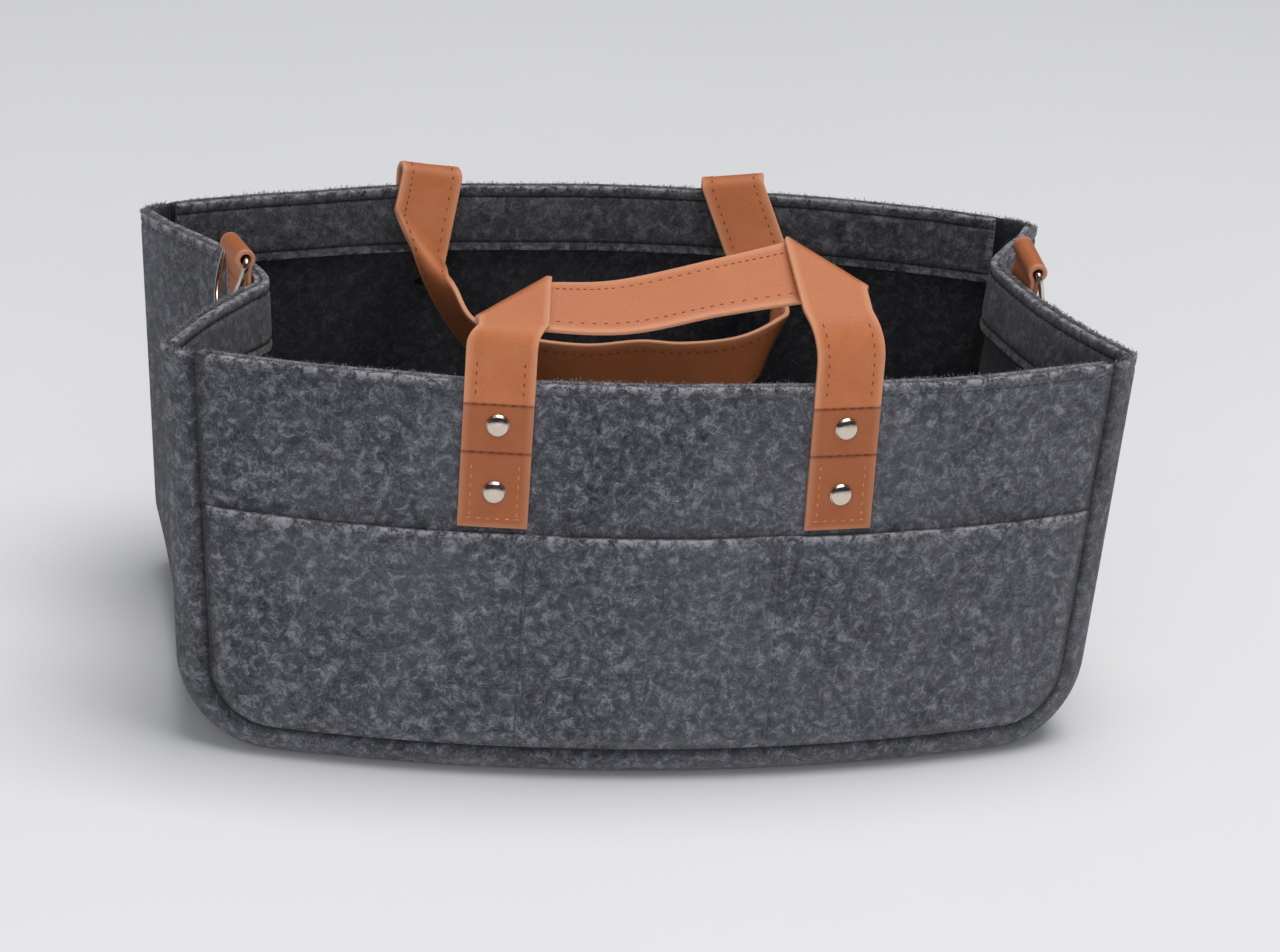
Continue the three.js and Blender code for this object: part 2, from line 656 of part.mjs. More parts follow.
// Outer face of an end wall at the rim in plan, over a width around a place given as a
// share of the way from the front corner to the back corner
function endRun(end, along, width) {
  const row = sectionRow(endPlace(end, BAG_HEIGHT), end).map((point) => new THREE.Vector2(point.x, point.y));
  const wall = row.slice(CORNER_STEPS + 1, row.length - CORNER_STEPS - 1);
  const middleY = THREE.MathUtils.lerp(wall[0].y, wall.at(-1).y, along);
  const [frontY, backY] = [middleY - width / 2, middleY + width / 2];
  const pointAt = (y) => {
    const next = wall.findIndex((point) => point.y >= y);
    const [low, high] = [wall[next - 1], wall[next]];
    return low.clone().lerp(high, (y - low.y) / (high.y - low.y));
  };
  const inner = wall.filter((point) => point.y > frontY && point.y < backY);
  return [pointAt(frontY), ...inner, pointAt(backY)];
}

// Side view of a tab: the strip hangs down from a roll that is centred above the rim
function tabShape() {
  const shape = new THREE.Shape();
  const half = TAB_THICKNESS / 2;
  const neck = Math.asin(half / rollRadius);
  shape.moveTo(-half, -TAB_DROP);
  shape.lineTo(half, -TAB_DROP);
  shape.lineTo(half, TAB_ROLL_RISE - rollRadius * Math.cos(neck));
  shape.absarc(0, TAB_ROLL_RISE, rollRadius, neck - Math.PI / 2, 1.5 * Math.PI - neck, false);
  shape.lineTo(-half, -TAB_DROP);
  const bore = new THREE.Path();
  bore.absarc(0, TAB_ROLL_RISE, ringBoreRadius, 0, 2 * Math.PI, true);
  shape.holes.push(bore);
  return shape;
}

function tabGeometry() {
  const settings = { depth: TAB_WIDTH, bevelEnabled: false, curveSegments: TAB_CURVE_SEGMENTS };
  const strip = new THREE.ExtrudeGeometry(tabShape(), settings);
  return strip.translate(0, 0, -TAB_WIDTH / 2).rotateY(Math.PI / 2);
}

// Round wire along a closed curve in the XY plane
function closedWire(points, radius, sides) {
  const rings = points.map((point, index) => {
    const before = points.at(index - 1);
    const after = points[(index + 1) % points.length];
    const tangent = new THREE.Vector3().subVectors(after, before).normalize();
    const outward = new THREE.Vector3(tangent.y, -tangent.x, 0);
    return range(sides).map((side) => {
      const angle = (2 * Math.PI * side) / sides;
      const out = point.clone().addScaledVector(outward, radius * Math.cos(angle));
      return out.addScaledVector(UP, radius * Math.sin(angle));
    });
  });
  const at = (row, side) => (row % rings.length) * sides + (side % sides);
  const triangles = rings.flatMap((ring, row) => ring.flatMap((_, side) => [
    [at(row, side), at(row + 1, side), at(row + 1, side + 1)],
    [at(row, side), at(row + 1, side + 1), at(row, side + 1)],
  ]));
  return closedSolid(rings.flat(), triangles);
}

// D-shaped ring: a straight bar along X with a bow that hangs below it
function ringPoints() {
  const halfBar = TAB_WIDTH / 2 + RING_SIDE_CLEARANCE + RING_WIRE / 2;
  const straight = halfBar - RING_CORNER_RADIUS;
  const bar = between(-straight, straight, RING_BAR_STEPS).map((x) => new THREE.Vector3(x, 0, 0));
  const rightCorner = between(0, Math.PI / 2, RING_CORNER_STEPS).slice(1).map((angle) => new THREE.Vector3(
    straight + RING_CORNER_RADIUS * Math.sin(angle),
    -RING_CORNER_RADIUS * (1 - Math.cos(angle)),
    0,
  ));
  const bow = between(0, Math.PI, RING_BOW_STEPS).slice(1, -1).map((angle) => new THREE.Vector3(
    halfBar * Math.cos(angle),
    -RING_CORNER_RADIUS - (RING_DEPTH - RING_CORNER_RADIUS) * Math.sin(angle),
    0,
  ));
  const leftCorner = rightCorner.map((point) => new THREE.Vector3(-point.x, point.y, 0)).reverse();
  return [...bar, ...rightCorner, ...bow, ...leftCorner];
}

for (const [end, tab] of Object.entries({ left: LEFT_TAB, right: RIGHT_TAB })) {
  const sign = HAND_SIGN[end];
  const tilt = radians(tab.tilt);
  const wallRun = endRun(end, tab.along, TAB_WIDTH + 2 * TAB_DROP * Math.sin(tilt));
  const [frontEdge, backEdge] = [wallRun[0], wallRun.at(-1)];
  const chord = new THREE.Vector2().subVectors(backEdge, frontEdge).normalize();
  const outward = new THREE.Vector2(chord.y, -chord.x).multiplyScalar(sign);
  const swell = Math.max(...wallRun.map((point) => point.clone().sub(frontEdge).dot(outward)));
  const standOff = swell + LAYER_GAP + TAB_THICKNESS / 2;
  const middle = frontEdge.clone().lerp(backEdge, 0.5).addScaledVector(outward, standOff);

  // The holder's X runs along the chord and its Y is up, leaning with the end wall. Its
  // tilt lowers the front end of the roll.
  const holder = new THREE.Group();
  const turn = new THREE.Matrix4().makeBasis(
    new THREE.Vector3(chord.x, chord.y, 0),
    UP,
    new THREE.Vector3(chord.y, -chord.x, 0),
  );
  turn.multiply(new THREE.Matrix4().makeRotationX(sign * LEAN));
  holder.rotation.setFromRotationMatrix(turn.multiply(new THREE.Matrix4().makeRotationZ(tilt)));
  holder.position.set(middle.x, middle.y, BAG_HEIGHT);
  bag.add(holder);

  addMesh(`ring_tab_${end}`, tabGeometry(), leather(), holder);
  const ring = addMesh(`ring_${end}`, closedWire(ringPoints(), RING_WIRE / 2, RING_SIDES), nickel(), holder);
  ring.position.set(0, TAB_ROLL_RISE, 0);
  ring.rotation.x = -sign * radians(tab.swing);
}

// The origin lies under the middle of the whole bag
bag.updateMatrixWorld(true);
const middleOfBag = new THREE.Box3().setFromObject(bag, true).getCenter(new THREE.Vector3());
bag.position.set(-middleOfBag.x, -middleOfBag.y, 0);
bag.updateMatrixWorld(true);

export default bag;
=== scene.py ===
import logging
import math
import random
from bisect import bisect_right
from dataclasses import dataclass, field
from enum import Enum
from itertools import accumulate, product
from typing import Callable, Sequence

import bmesh
import bpy
from bmesh.types import BMesh
from bpy.types import Material, NodeSocket, NodeTree, Object
from mathutils import Matrix, Vector, noise
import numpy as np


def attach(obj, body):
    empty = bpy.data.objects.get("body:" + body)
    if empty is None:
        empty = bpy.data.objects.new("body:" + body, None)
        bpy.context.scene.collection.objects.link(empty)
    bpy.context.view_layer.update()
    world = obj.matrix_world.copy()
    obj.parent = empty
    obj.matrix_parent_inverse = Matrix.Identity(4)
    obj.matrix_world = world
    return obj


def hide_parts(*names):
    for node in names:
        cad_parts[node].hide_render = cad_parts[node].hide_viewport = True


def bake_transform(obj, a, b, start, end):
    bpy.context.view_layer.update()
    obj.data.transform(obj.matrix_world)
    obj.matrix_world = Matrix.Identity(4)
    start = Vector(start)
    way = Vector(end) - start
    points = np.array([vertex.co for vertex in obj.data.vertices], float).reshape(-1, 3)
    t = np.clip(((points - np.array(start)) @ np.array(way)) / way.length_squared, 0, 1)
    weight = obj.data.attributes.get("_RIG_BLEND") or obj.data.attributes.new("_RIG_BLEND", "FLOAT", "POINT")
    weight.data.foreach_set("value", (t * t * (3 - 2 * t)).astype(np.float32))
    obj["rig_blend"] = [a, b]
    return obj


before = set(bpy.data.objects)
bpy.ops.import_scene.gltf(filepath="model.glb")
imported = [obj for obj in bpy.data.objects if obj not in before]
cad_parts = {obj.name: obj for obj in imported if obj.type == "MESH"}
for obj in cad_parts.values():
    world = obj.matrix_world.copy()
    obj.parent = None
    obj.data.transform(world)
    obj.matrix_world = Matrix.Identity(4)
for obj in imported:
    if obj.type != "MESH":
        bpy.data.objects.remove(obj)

log = logging.getLogger("felt_bag")

Pair = tuple[float, float]

MM = 0.001
UP = Vector((0.0, 0.0, 1.0))

# Stitches that are made in one mesh before they join the others, which is quicker than one big mesh
STITCH_RUN = 30

# Cuts through a rounded edge, as shares of its radius, and beside a sewn line, in millimetres
EDGE_CUTS = (0.0, 0.0, 0.07, 0.3, 0.62, 1.0)
LINE_CUTS = (-1.7, -0.9, -0.4, 0.0, 0.4, 0.9, 1.7)
LINE_ROOM = 1.9

# How deep a seam and a sewn line draw the felt in, and how far from the line, in millimetres
SEAM_DRAW = 1.1
LINE_DRAW = 0.5
LINE_SPREAD = 0.9

# How far the painted shade of a seam and of a sewn line, and the worn look of a cut edge, reach, in
# millimetres
SEAM_REACH = 1.9
LINE_REACH = 0.5
WEAR_REACH = 1.3

# Length and width of the threads, in millimetres
FELT_STITCH = (2.6, 0.64)
POCKET_STITCH = (2.5, 0.6)
ROW_STITCH = (2.1, 0.66)
CROSS_STITCH = (2.2, 0.66)


class Labelled(Enum):
    """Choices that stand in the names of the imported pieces."""

    @property
    def label(self) -> str:
        """The choice's name in those names."""
        return self.name.lower()


class Side(Labelled):
    """The two long walls, with the sign of their y."""

    FRONT = -1
    BACK = 1


class Hand(Labelled):
    """The left and right halves of the bag, with the sign of their x."""

    LEFT = -1
    RIGHT = 1


class Level(Labelled):
    """The two rivets of a leg."""

    LOWER = 0
    UPPER = 1


# Small sums


def mix(a, b, share: float):
    """Value or vector that lies a share of the way from a to b."""
    return a + (b - a) * share


def between(low: float, high: float, steps: int) -> list[float]:
    """Even steps from low to high, both ends included."""
    return [mix(low, high, step / steps) for step in range(steps + 1)]


def smoothstep(value: float, low: float, high: float) -> float:
    """Smooth rise from 0 at low to 1 at high."""
    t = min(max((value - low) / (high - low), 0.0), 1.0)
    return t * t * (3 - 2 * t)


def bell(distance: float, width: float) -> float:
    """Smooth hump of height 1 that fades out over a width."""
    return math.exp(-((distance / width) ** 2))


def spaced(
    low: float, high: float, step: float, edge: float, lines: Sequence[float] = ()
) -> list[float]:
    """Cuts across a cloth, closer at its two edges and beside its sewn lines.

    Args:
        low: First edge.
        high: Last edge.
        step: Widest spacing.
        edge: Radius of the rounded edges.
        lines: Places of sewn lines.

    Returns:
        Rising places from low to high.
    """
    places = set(between(low + edge, high - edge, max(1, round((high - low - 2 * edge) / step))))
    for line in lines:
        places = {p for p in places if abs(p - line) > LINE_ROOM}
        places |= {line + offset for offset in LINE_CUTS}
    first = [low + edge * share for share in EDGE_CUTS[:-1]]
    last = [high - edge * share for share in EDGE_CUTS[-2::-1]]
    return first + sorted(places) + last


def along_row(start: float, end: float, pitch: float) -> list[float]:
    """Middles of the stitches of a row that starts at start and ends before end."""
    return [start + (index + 0.5) * pitch for index in range(int((end - start) / pitch))]


def fullness(places: Sequence[float], edge: float) -> list[float]:
    """Share of the full thickness at each cut of spaced(), 0 at the first and the last.

    Args:
        places: The cuts.
        edge: Radius of the rounded edges.

    Returns:
        One share for each cut.
    """

    def share(place: float) -> float:
        """Share at a cut between the first and the last."""
        t = min(min(place - places[0], places[-1] - place) / edge, 1.0)
        return 0.5 + 0.5 * math.sqrt(max(0.0, 1 - (1 - t) ** 2))

    return [0.0, *(share(place) for place in places[1:-1]), 0.0]


def catmull_rom(points: Sequence[Vector], t: float) -> Vector:
    """Point on a centripetal Catmull-Rom curve.

    Args:
        points: Points that the curve passes through.
        t: Place along the curve, 0 to 1.

    Returns:
        The point.
    """
    last = len(points) - 1
    place = min(max(t, 0.0), 1.0) * last
    index = min(int(place), last - 1)
    weight = place - index
    p1, p2 = points[index], points[index + 1]
    p0 = points[index - 1] if index > 0 else p1 * 2 - p2
    p3 = points[index + 2] if index + 2 <= last else p2 * 2 - p1
    gap1 = (p2 - p1).length ** 0.5 or 1.0
    gap0 = (p1 - p0).length ** 0.5 or gap1
    gap2 = (p3 - p2).length ** 0.5 or gap1
    start = ((p1 - p0) / gap0 - (p2 - p0) / (gap0 + gap1) + (p2 - p1) / gap1) * gap1
    end = ((p2 - p1) / gap1 - (p3 - p1) / (gap1 + gap2) + (p3 - p2) / gap2) * gap1
    square, cube = weight**2, weight**3
    return (
        p1
        + start * weight
        + (p1 * -3 + p2 * 3 - start * 2 - end) * square
        + (p1 * 2 - p2 * 2 + start + end) * cube
    )


# Finishes


def srgb(red: int, green: int, blue: int) -> tuple[float, float, float, float]:
    """Linear colour of a colour given as screen values from 0 to 255."""

    def linear(value: int) -> float:
        """Linear share of one screen value."""
        share = value / 255
        return share / 12.92 if share <= 0.04045 else ((share + 0.055) / 1.055) ** 2.4

    return (linear(red), linear(green), linear(blue), 1.0)


class Nodes:
    """Builds the nodes of one material or shared group, left to right."""

    def __init__(self, tree: NodeTree) -> None:
        """Starts from an empty tree."""
        self.tree = tree
        tree.nodes.clear()

    def add(self, kind: str, inputs: dict | None = None, **settings) -> bpy.types.Node:
        """Adds a node.

        Args:
            kind: The node's type name.
            inputs: Values or sockets for its inputs, by name or number.
            settings: Values for its own properties.

        Returns:
            The node.
        """
        node = self.tree.nodes.new(kind)
        for name, value in settings.items():
            setattr(node, name, value)
        for name, value in (inputs or {}).items():
            if isinstance(value, NodeSocket):
                self.tree.links.new(value, node.inputs[name])
            else:
                node.inputs[name].default_value = value
        return node

    def math(self, operation: str, *values) -> NodeSocket:
        """Result of a math node on the values or sockets."""
        return self.add("ShaderNodeMath", dict(enumerate(values)), operation=operation).outputs[0]

    def span(
        self, value, low: float, high: float, start: float = 0.0, end: float = 1.0
    ) -> NodeSocket:
        """Smooth map of a value from low..high to start..end."""
        inputs = {"Value": value, "From Min": low, "From Max": high, "To Min": start, "To Max": end}
        return self.add("ShaderNodeMapRange", inputs, interpolation_type="SMOOTHSTEP").outputs[0]

    def blend(self, factor, a, b) -> NodeSocket:
        """Colour mix of a and b by a factor."""
        return self.add("ShaderNodeMix", {0: factor, 6: a, 7: b}, data_type="RGBA").outputs[2]

    def noise(
        self, vector, scale, detail: float, rough: float = 0.55, warp: float = 0.0
    ) -> NodeSocket:
        """Value of a noise texture."""
        inputs = {"Vector": vector, "Scale": scale, "Detail": detail}
        inputs |= {"Roughness": rough, "Distortion": warp}
        return self.add("ShaderNodeTexNoise", inputs).outputs[0]

    def warped(self, place, scale: float, detail: float, amount: float) -> NodeSocket:
        """Place shifted by a coloured noise, by an amount in metres."""
        inputs = {"Vector": place, "Scale": scale, "Detail": detail}
        bend = self.add("ShaderNodeTexNoise", inputs).outputs["Color"]
        shift = self.add("ShaderNodeVectorMath", {0: bend, "Scale": amount}, operation="SCALE")
        return self.add("ShaderNodeVectorMath", {0: place, 1: shift.outputs[0]}).outputs[0]

    def mesh_value(self, name: str, strength: float = 1.0) -> NodeSocket:
        """Value that the mesh carries under a name, times a strength."""
        value = self.add("ShaderNodeAttribute", attribute_name=name).outputs["Fac"]
        return value if strength == 1.0 else self.math("MULTIPLY", value, strength)

    def pattern(
        self, tree: NodeTree, place, size_name: str, size: float
    ) -> bpy.types.bpy_prop_collection:
        """Outputs of a shared group at a place, for a size of its pattern in metres."""
        inputs = {"Place": place, size_name: size}
        return self.add("ShaderNodeGroup", inputs, node_tree=tree).outputs


class SharedGroup:
    """A shader group of several materials: a place and a size go in, and values come out."""

    def __init__(self, name: str, size_name: str) -> None:
        """Starts the group: its place, and one over the size of its pattern."""
        tree = bpy.data.node_groups.new(name, "ShaderNodeTree")
        tree.interface.new_socket("Place", in_out="INPUT", socket_type="NodeSocketVector")
        tree.interface.new_socket(size_name, in_out="INPUT", socket_type="NodeSocketFloat")
        self.tree = tree
        self.nodes = Nodes(tree)
        given = self.nodes.add("NodeGroupInput").outputs
        self.place = given["Place"]
        self.scale = self.nodes.math("DIVIDE", 1.0, given[size_name])

    def finish(self, **results: NodeSocket) -> NodeTree:
        """Gives the results out under their names, and returns the group."""
        for name in results:
            self.tree.interface.new_socket(name, in_out="OUTPUT", socket_type="NodeSocketFloat")
        self.nodes.add("NodeGroupOutput", results)
        return self.tree


def fibre_group() -> NodeTree:
    """Builds the pattern of pressed felt: mottled clumps, curling wisps and fine fibres.

    Returns:
        The group, with outputs for the mottling, the wisps, the slow drift and the height.
    """
    group = SharedGroup("pressed_fibres", "Clump size")
    nodes = group.nodes
    fine_share = 0.33
    warped = nodes.warped(group.place, 150.0, 2.0, 0.004)
    clumps = nodes.noise(warped, group.scale, 6.0, 0.72, 0.5)
    curls = nodes.noise(warped, nodes.math("MULTIPLY", group.scale, 0.8), 3.0, 0.6, 2.4)
    fine = nodes.noise(group.place, 1300.0, 3.0, 0.65, 1.2)
    coarse = nodes.math("MULTIPLY", clumps, 1 - fine_share)
    mottle = nodes.math("MULTIPLY_ADD", fine, fine_share, coarse)
    wisps = nodes.span(curls, 0.54, 0.68)
    height = nodes.math("MULTIPLY_ADD", wisps, 0.25, nodes.math("MULTIPLY_ADD", fine, 0.5, clumps))
    drift = nodes.noise(group.place, 16.0, 2.0)
    return group.finish(Mottle=mottle, Wisps=wisps, Drift=drift, Height=height)


def grain_group() -> NodeTree:
    """Builds the pebbled grain of pressed leather.

    Returns:
        The group, with outputs for the creases, the cloudy tone and the height.
    """
    group = SharedGroup("pebble_grain", "Pebble size")
    nodes = group.nodes
    warped = nodes.warped(group.place, 900.0, 1.0, 0.0006)
    inputs = {"Vector": warped, "Scale": group.scale}
    cells = nodes.add("ShaderNodeTexVoronoi", inputs, feature="DISTANCE_TO_EDGE")
    creases = nodes.span(cells.outputs["Distance"], 0.16, 0.0)
    fine = nodes.noise(group.place, 1500.0, 3.0, 0.6)
    sunk = nodes.math("MULTIPLY", creases, 0.6)
    height = nodes.math("SUBTRACT", nodes.math("MULTIPLY", fine, 0.35), sunk)
    tone = nodes.noise(group.place, 55.0, 4.0, 0.6, 0.5)
    return group.finish(Creases=creases, Tone=tone, Height=height)


# A shader's inputs, the height of its relief if it has one, and the relief's depth in metres
Look = tuple[dict, NodeSocket | None, float]


@dataclass(frozen=True)
class Finish:
    """What the finish of every piece has.

    Args:
        name: The material's name.
    """

    name: str

    def look(self, nodes: Nodes, place: NodeSocket) -> Look:
        """Makes the finish's own nodes.

        Args:
            nodes: The material's nodes helper.
            place: The place on the object.

        Returns:
            The look.
        """
        raise NotImplementedError

    def material(self) -> Material:
        """Makes the material."""
        made = bpy.data.materials.new(self.name)
        made.use_nodes = True
        nodes = Nodes(made.node_tree)
        inputs, height, depth = self.look(nodes, nodes.add("ShaderNodeTexCoord").outputs["Object"])
        if height is not None:
            relief = nodes.add("ShaderNodeBump", {"Height": height, "Distance": depth})
            inputs["Normal"] = relief.outputs[0]
        shader = nodes.add("ShaderNodeBsdfPrincipled", inputs)
        nodes.add("ShaderNodeOutputMaterial", {0: shader.outputs[0]})
        return made


@dataclass(frozen=True)
class FeltFinish(Finish):
    """Pressed grey felt.

    Args:
        fibres: The shared fibre pattern.
        ground: Main grey.
        clump: Grey of the pale fibre clumps.
        pit_and_painted_shade: Grey of the dark pits, and of the painted shade in the seams, the sewn lines
            and on the inner face.
        fuzz: Grey of the loose fibres along the cut edges.
        inside_shade: How much painted shade darkens the inner face.
        clump_size: Size of the clumps, in metres.
        relief: Depth of the fibres, in metres.
    """

    fibres: NodeTree
    ground: tuple
    clump: tuple
    pit_and_painted_shade: tuple
    fuzz: tuple
    inside_shade: float = 0.0
    clump_size: float = 0.0045
    relief: float = 0.0009

    def look(self, nodes: Nodes, place: NodeSocket) -> Look:
        """Makes the mottled tone, with painted shade in the seams, the sewn lines and on the inner face, and
        frayed pale along the cut edges.
        """
        pattern = nodes.pattern(self.fibres, place, "Clump size", self.clump_size)
        mottle = pattern["Mottle"]
        patches = nodes.span(mottle, 0.45, 0.56, 0.0, 0.95)
        frayed = nodes.math("MULTIPLY", nodes.mesh_value("edge"), patches)
        tone = nodes.blend(nodes.span(mottle, 0.35, 0.505), self.pit_and_painted_shade, self.ground)
        for share, colour in (
            (nodes.span(pattern["Drift"], 0.3, 0.7, 0.0, 0.14), self.clump),
            (nodes.span(mottle, 0.485, 0.65), self.clump),
            (nodes.math("MULTIPLY", pattern["Wisps"], 0.3), self.clump),
            (frayed, self.fuzz),
            # Painted shade in the seams and along the sewn lines
            (nodes.mesh_value("groove", 0.85), self.pit_and_painted_shade),
            # Painted shade: the inner face is darkened for the shade inside the bag
            (nodes.mesh_value("shade", self.inside_shade), self.pit_and_painted_shade),
        ):
            tone = nodes.blend(share, tone, colour)
        inputs = {"Base Color": tone, "Roughness": 0.95, "Specular IOR Level": 0.15}
        inputs |= {"Sheen Weight": 0.2, "Sheen Roughness": 0.6}
        return inputs, pattern["Height"], self.relief


@dataclass(frozen=True)
class LeatherFinish(Finish):
    """Tan strap leather with a fine pebbled grain and paler turned edges.

    Args:
        grain: The shared grain pattern.
        ground: Main colour.
        pale: Colour where the tone is light.
        dark: Colour in the creases, over the riveted parts, and of the painted shade in the seams and sewn
            lines.
        turned: Colour along the turned edges.
        roughness: Roughness of the smooth parts.
        pebble_size: Size of the pebbles, in metres.
        relief: Depth of the grain, in metres.
    """

    grain: NodeTree
    ground: tuple
    pale: tuple
    dark: tuple
    turned: tuple
    roughness: float = 0.46
    pebble_size: float = 0.0011
    relief: float = 0.00006

    def look(self, nodes: Nodes, place: NodeSocket) -> Look:
        """Makes the cloudy tone with its creases, turned edges, darker riveted parts and painted shade in
        the seams and sewn lines.
        """
        pattern = nodes.pattern(self.grain, place, "Pebble size", self.pebble_size)
        cloud = pattern["Tone"]
        tone = nodes.blend(nodes.span(cloud, 0.35, 0.7, 0.0, 0.22), self.ground, self.pale)
        for share, colour in (
            (nodes.math("MULTIPLY", pattern["Creases"], 0.12), self.dark),
            (nodes.mesh_value("edge", 0.6), self.turned),
            (nodes.mesh_value("shade", 0.38), self.dark),
            # Painted shade in the seams and along the sewn lines
            (nodes.mesh_value("groove", 0.8), self.dark),
        ):
            tone = nodes.blend(share, tone, colour)
        rough = nodes.span(cloud, 0.3, 0.7, self.roughness - 0.06, self.roughness + 0.08)
        inputs = {"Base Color": tone, "Roughness": rough, "Specular IOR Level": 0.3}
        return inputs, pattern["Height"], self.relief


@dataclass(frozen=True)
class MetalFinish(Finish):
    """Nickel plate, faintly worn.

    Args:
        colour: Colour of the clean plate.
        worn: Colour of the worn parts.
    """

    colour: tuple
    worn: tuple

    def look(self, nodes: Nodes, place: NodeSocket) -> Look:
        """Makes the smeared shine."""
        smear = nodes.noise(place, 260.0, 3.0, 0.6)
        rough = nodes.span(smear, 0.3, 0.75, 0.12, 0.3)
        tone = nodes.blend(nodes.span(smear, 0.55, 0.8, 0.0, 0.4), self.colour, self.worn)
        return {"Base Color": tone, "Roughness": rough, "Metallic": 1.0}, smear, 0.00008


@dataclass(frozen=True)
class ThreadFinish(Finish):
    """Twisted sewing thread.

    Args:
        colour: Colour of the strands.
        shade: Colour between them.
    """

    colour: tuple
    shade: tuple

    def look(self, nodes: Nodes, place: NodeSocket) -> Look:
        """Makes the twist of the strands."""
        twist = nodes.noise(place, 1800.0, 2.0, 0.5, 1.0)
        tone = nodes.blend(nodes.span(twist, 0.35, 0.65), self.shade, self.colour)
        return {"Base Color": tone, "Roughness": 0.8}, twist, 0.0002


@dataclass(frozen=True)
class FloorFinish(Finish):
    """Pale, faintly clouded floor.

    Args:
        colour: Colour of the clouds.
        ground: Colour between them.
    """

    colour: tuple
    ground: tuple

    def look(self, nodes: Nodes, place: NodeSocket) -> Look:
        """Makes the clouded tone, without relief."""
        tone = nodes.blend(nodes.noise(place, 3.0, 3.0), self.ground, self.colour)
        return {"Base Color": tone, "Roughness": 0.7}, None, 0.0


class Wardrobe:
    """All finishes of the bag, made once."""

    def __init__(self) -> None:
        """Makes the shared patterns and the materials."""
        fibres = fibre_group()
        grain = grain_group()
        felt = (srgb(62, 64, 71), srgb(135, 136, 145), srgb(13, 14, 18), srgb(168, 168, 174))
        facing = (srgb(64, 65, 70), srgb(126, 127, 133), srgb(12, 13, 16), srgb(160, 160, 166))
        leather = (srgb(184, 108, 66), srgb(210, 143, 101), srgb(98, 44, 21), srgb(226, 168, 134))
        # The felt's inner face gets painted shade; the facings, whose inner face is seen, get none
        self.felt = FeltFinish("grey_felt", fibres, *felt, inside_shade=0.7).material()
        self.facing = FeltFinish("facing_felt", fibres, *facing).material()
        self.leather = LeatherFinish("tan_leather", grain, *leather).material()
        self.nickel = self.metal("nickel_plate", srgb(216, 203, 188), srgb(158, 148, 136))
        # Darker nickel of the closing caps inside, made darker so that they stand back in the shade there
        self.darker_nickel = self.metal("darker_nickel", srgb(146, 140, 133), srgb(102, 98, 93))
        self.strap_thread = self.thread("brown_thread", srgb(136, 66, 35), srgb(82, 38, 20))
        self.tonal_thread = self.thread("tan_thread", srgb(238, 150, 94), srgb(186, 102, 58))
        self.dark_thread = self.thread("dark_thread", srgb(48, 49, 54), srgb(20, 21, 24))
        self.grey_thread = self.thread("grey_thread", srgb(74, 76, 82), srgb(44, 45, 50))
        self.loose_fibre = self.thread("loose_fibre", srgb(158, 158, 163), srgb(96, 97, 102))

    def metal(self, name: str, colour: tuple, worn: tuple) -> Material:
        """Makes a plated metal."""
        return MetalFinish(name, colour, worn).material()

    def thread(self, name: str, colour: tuple, shade: tuple) -> Material:
        """Makes a thread."""
        return ThreadFinish(name, colour, shade).material()


# Mesh making

# Gives a point in millimetres from the cut across, the cut down and the height above the middle
Place = Callable[[float, float, float], Vector]


def to_frame(point: Vector) -> Vector:
    """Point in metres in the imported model's frame, from millimetres about the bag's own middle."""
    return Vector((point.x, point.y - BagShape.MIDDLE_Y, point.z)) * MM


def finished(name: str, bm: BMesh, material: Material) -> Object:
    """Turns a bmesh into a smooth-shaded object at the origin.

    Args:
        name: The piece's name.
        bm: Its mesh, in metres.
        material: Its finish.

    Returns:
        The object.
    """
    mesh = bpy.data.meshes.new(name)
    bm.to_mesh(mesh)
    bm.free()
    mesh.materials.append(material)
    mesh.polygons.foreach_set("use_smooth", [True] * len(mesh.polygons))
    made = bpy.data.objects.new(name, mesh)
    bpy.context.scene.collection.objects.link(made)
    return made


def inner_face(_: float, facing: int) -> float:
    """Painted shade of a sheet: full on its inner face, none on its outer face."""
    return 0.0 if facing > 0 else 1.0


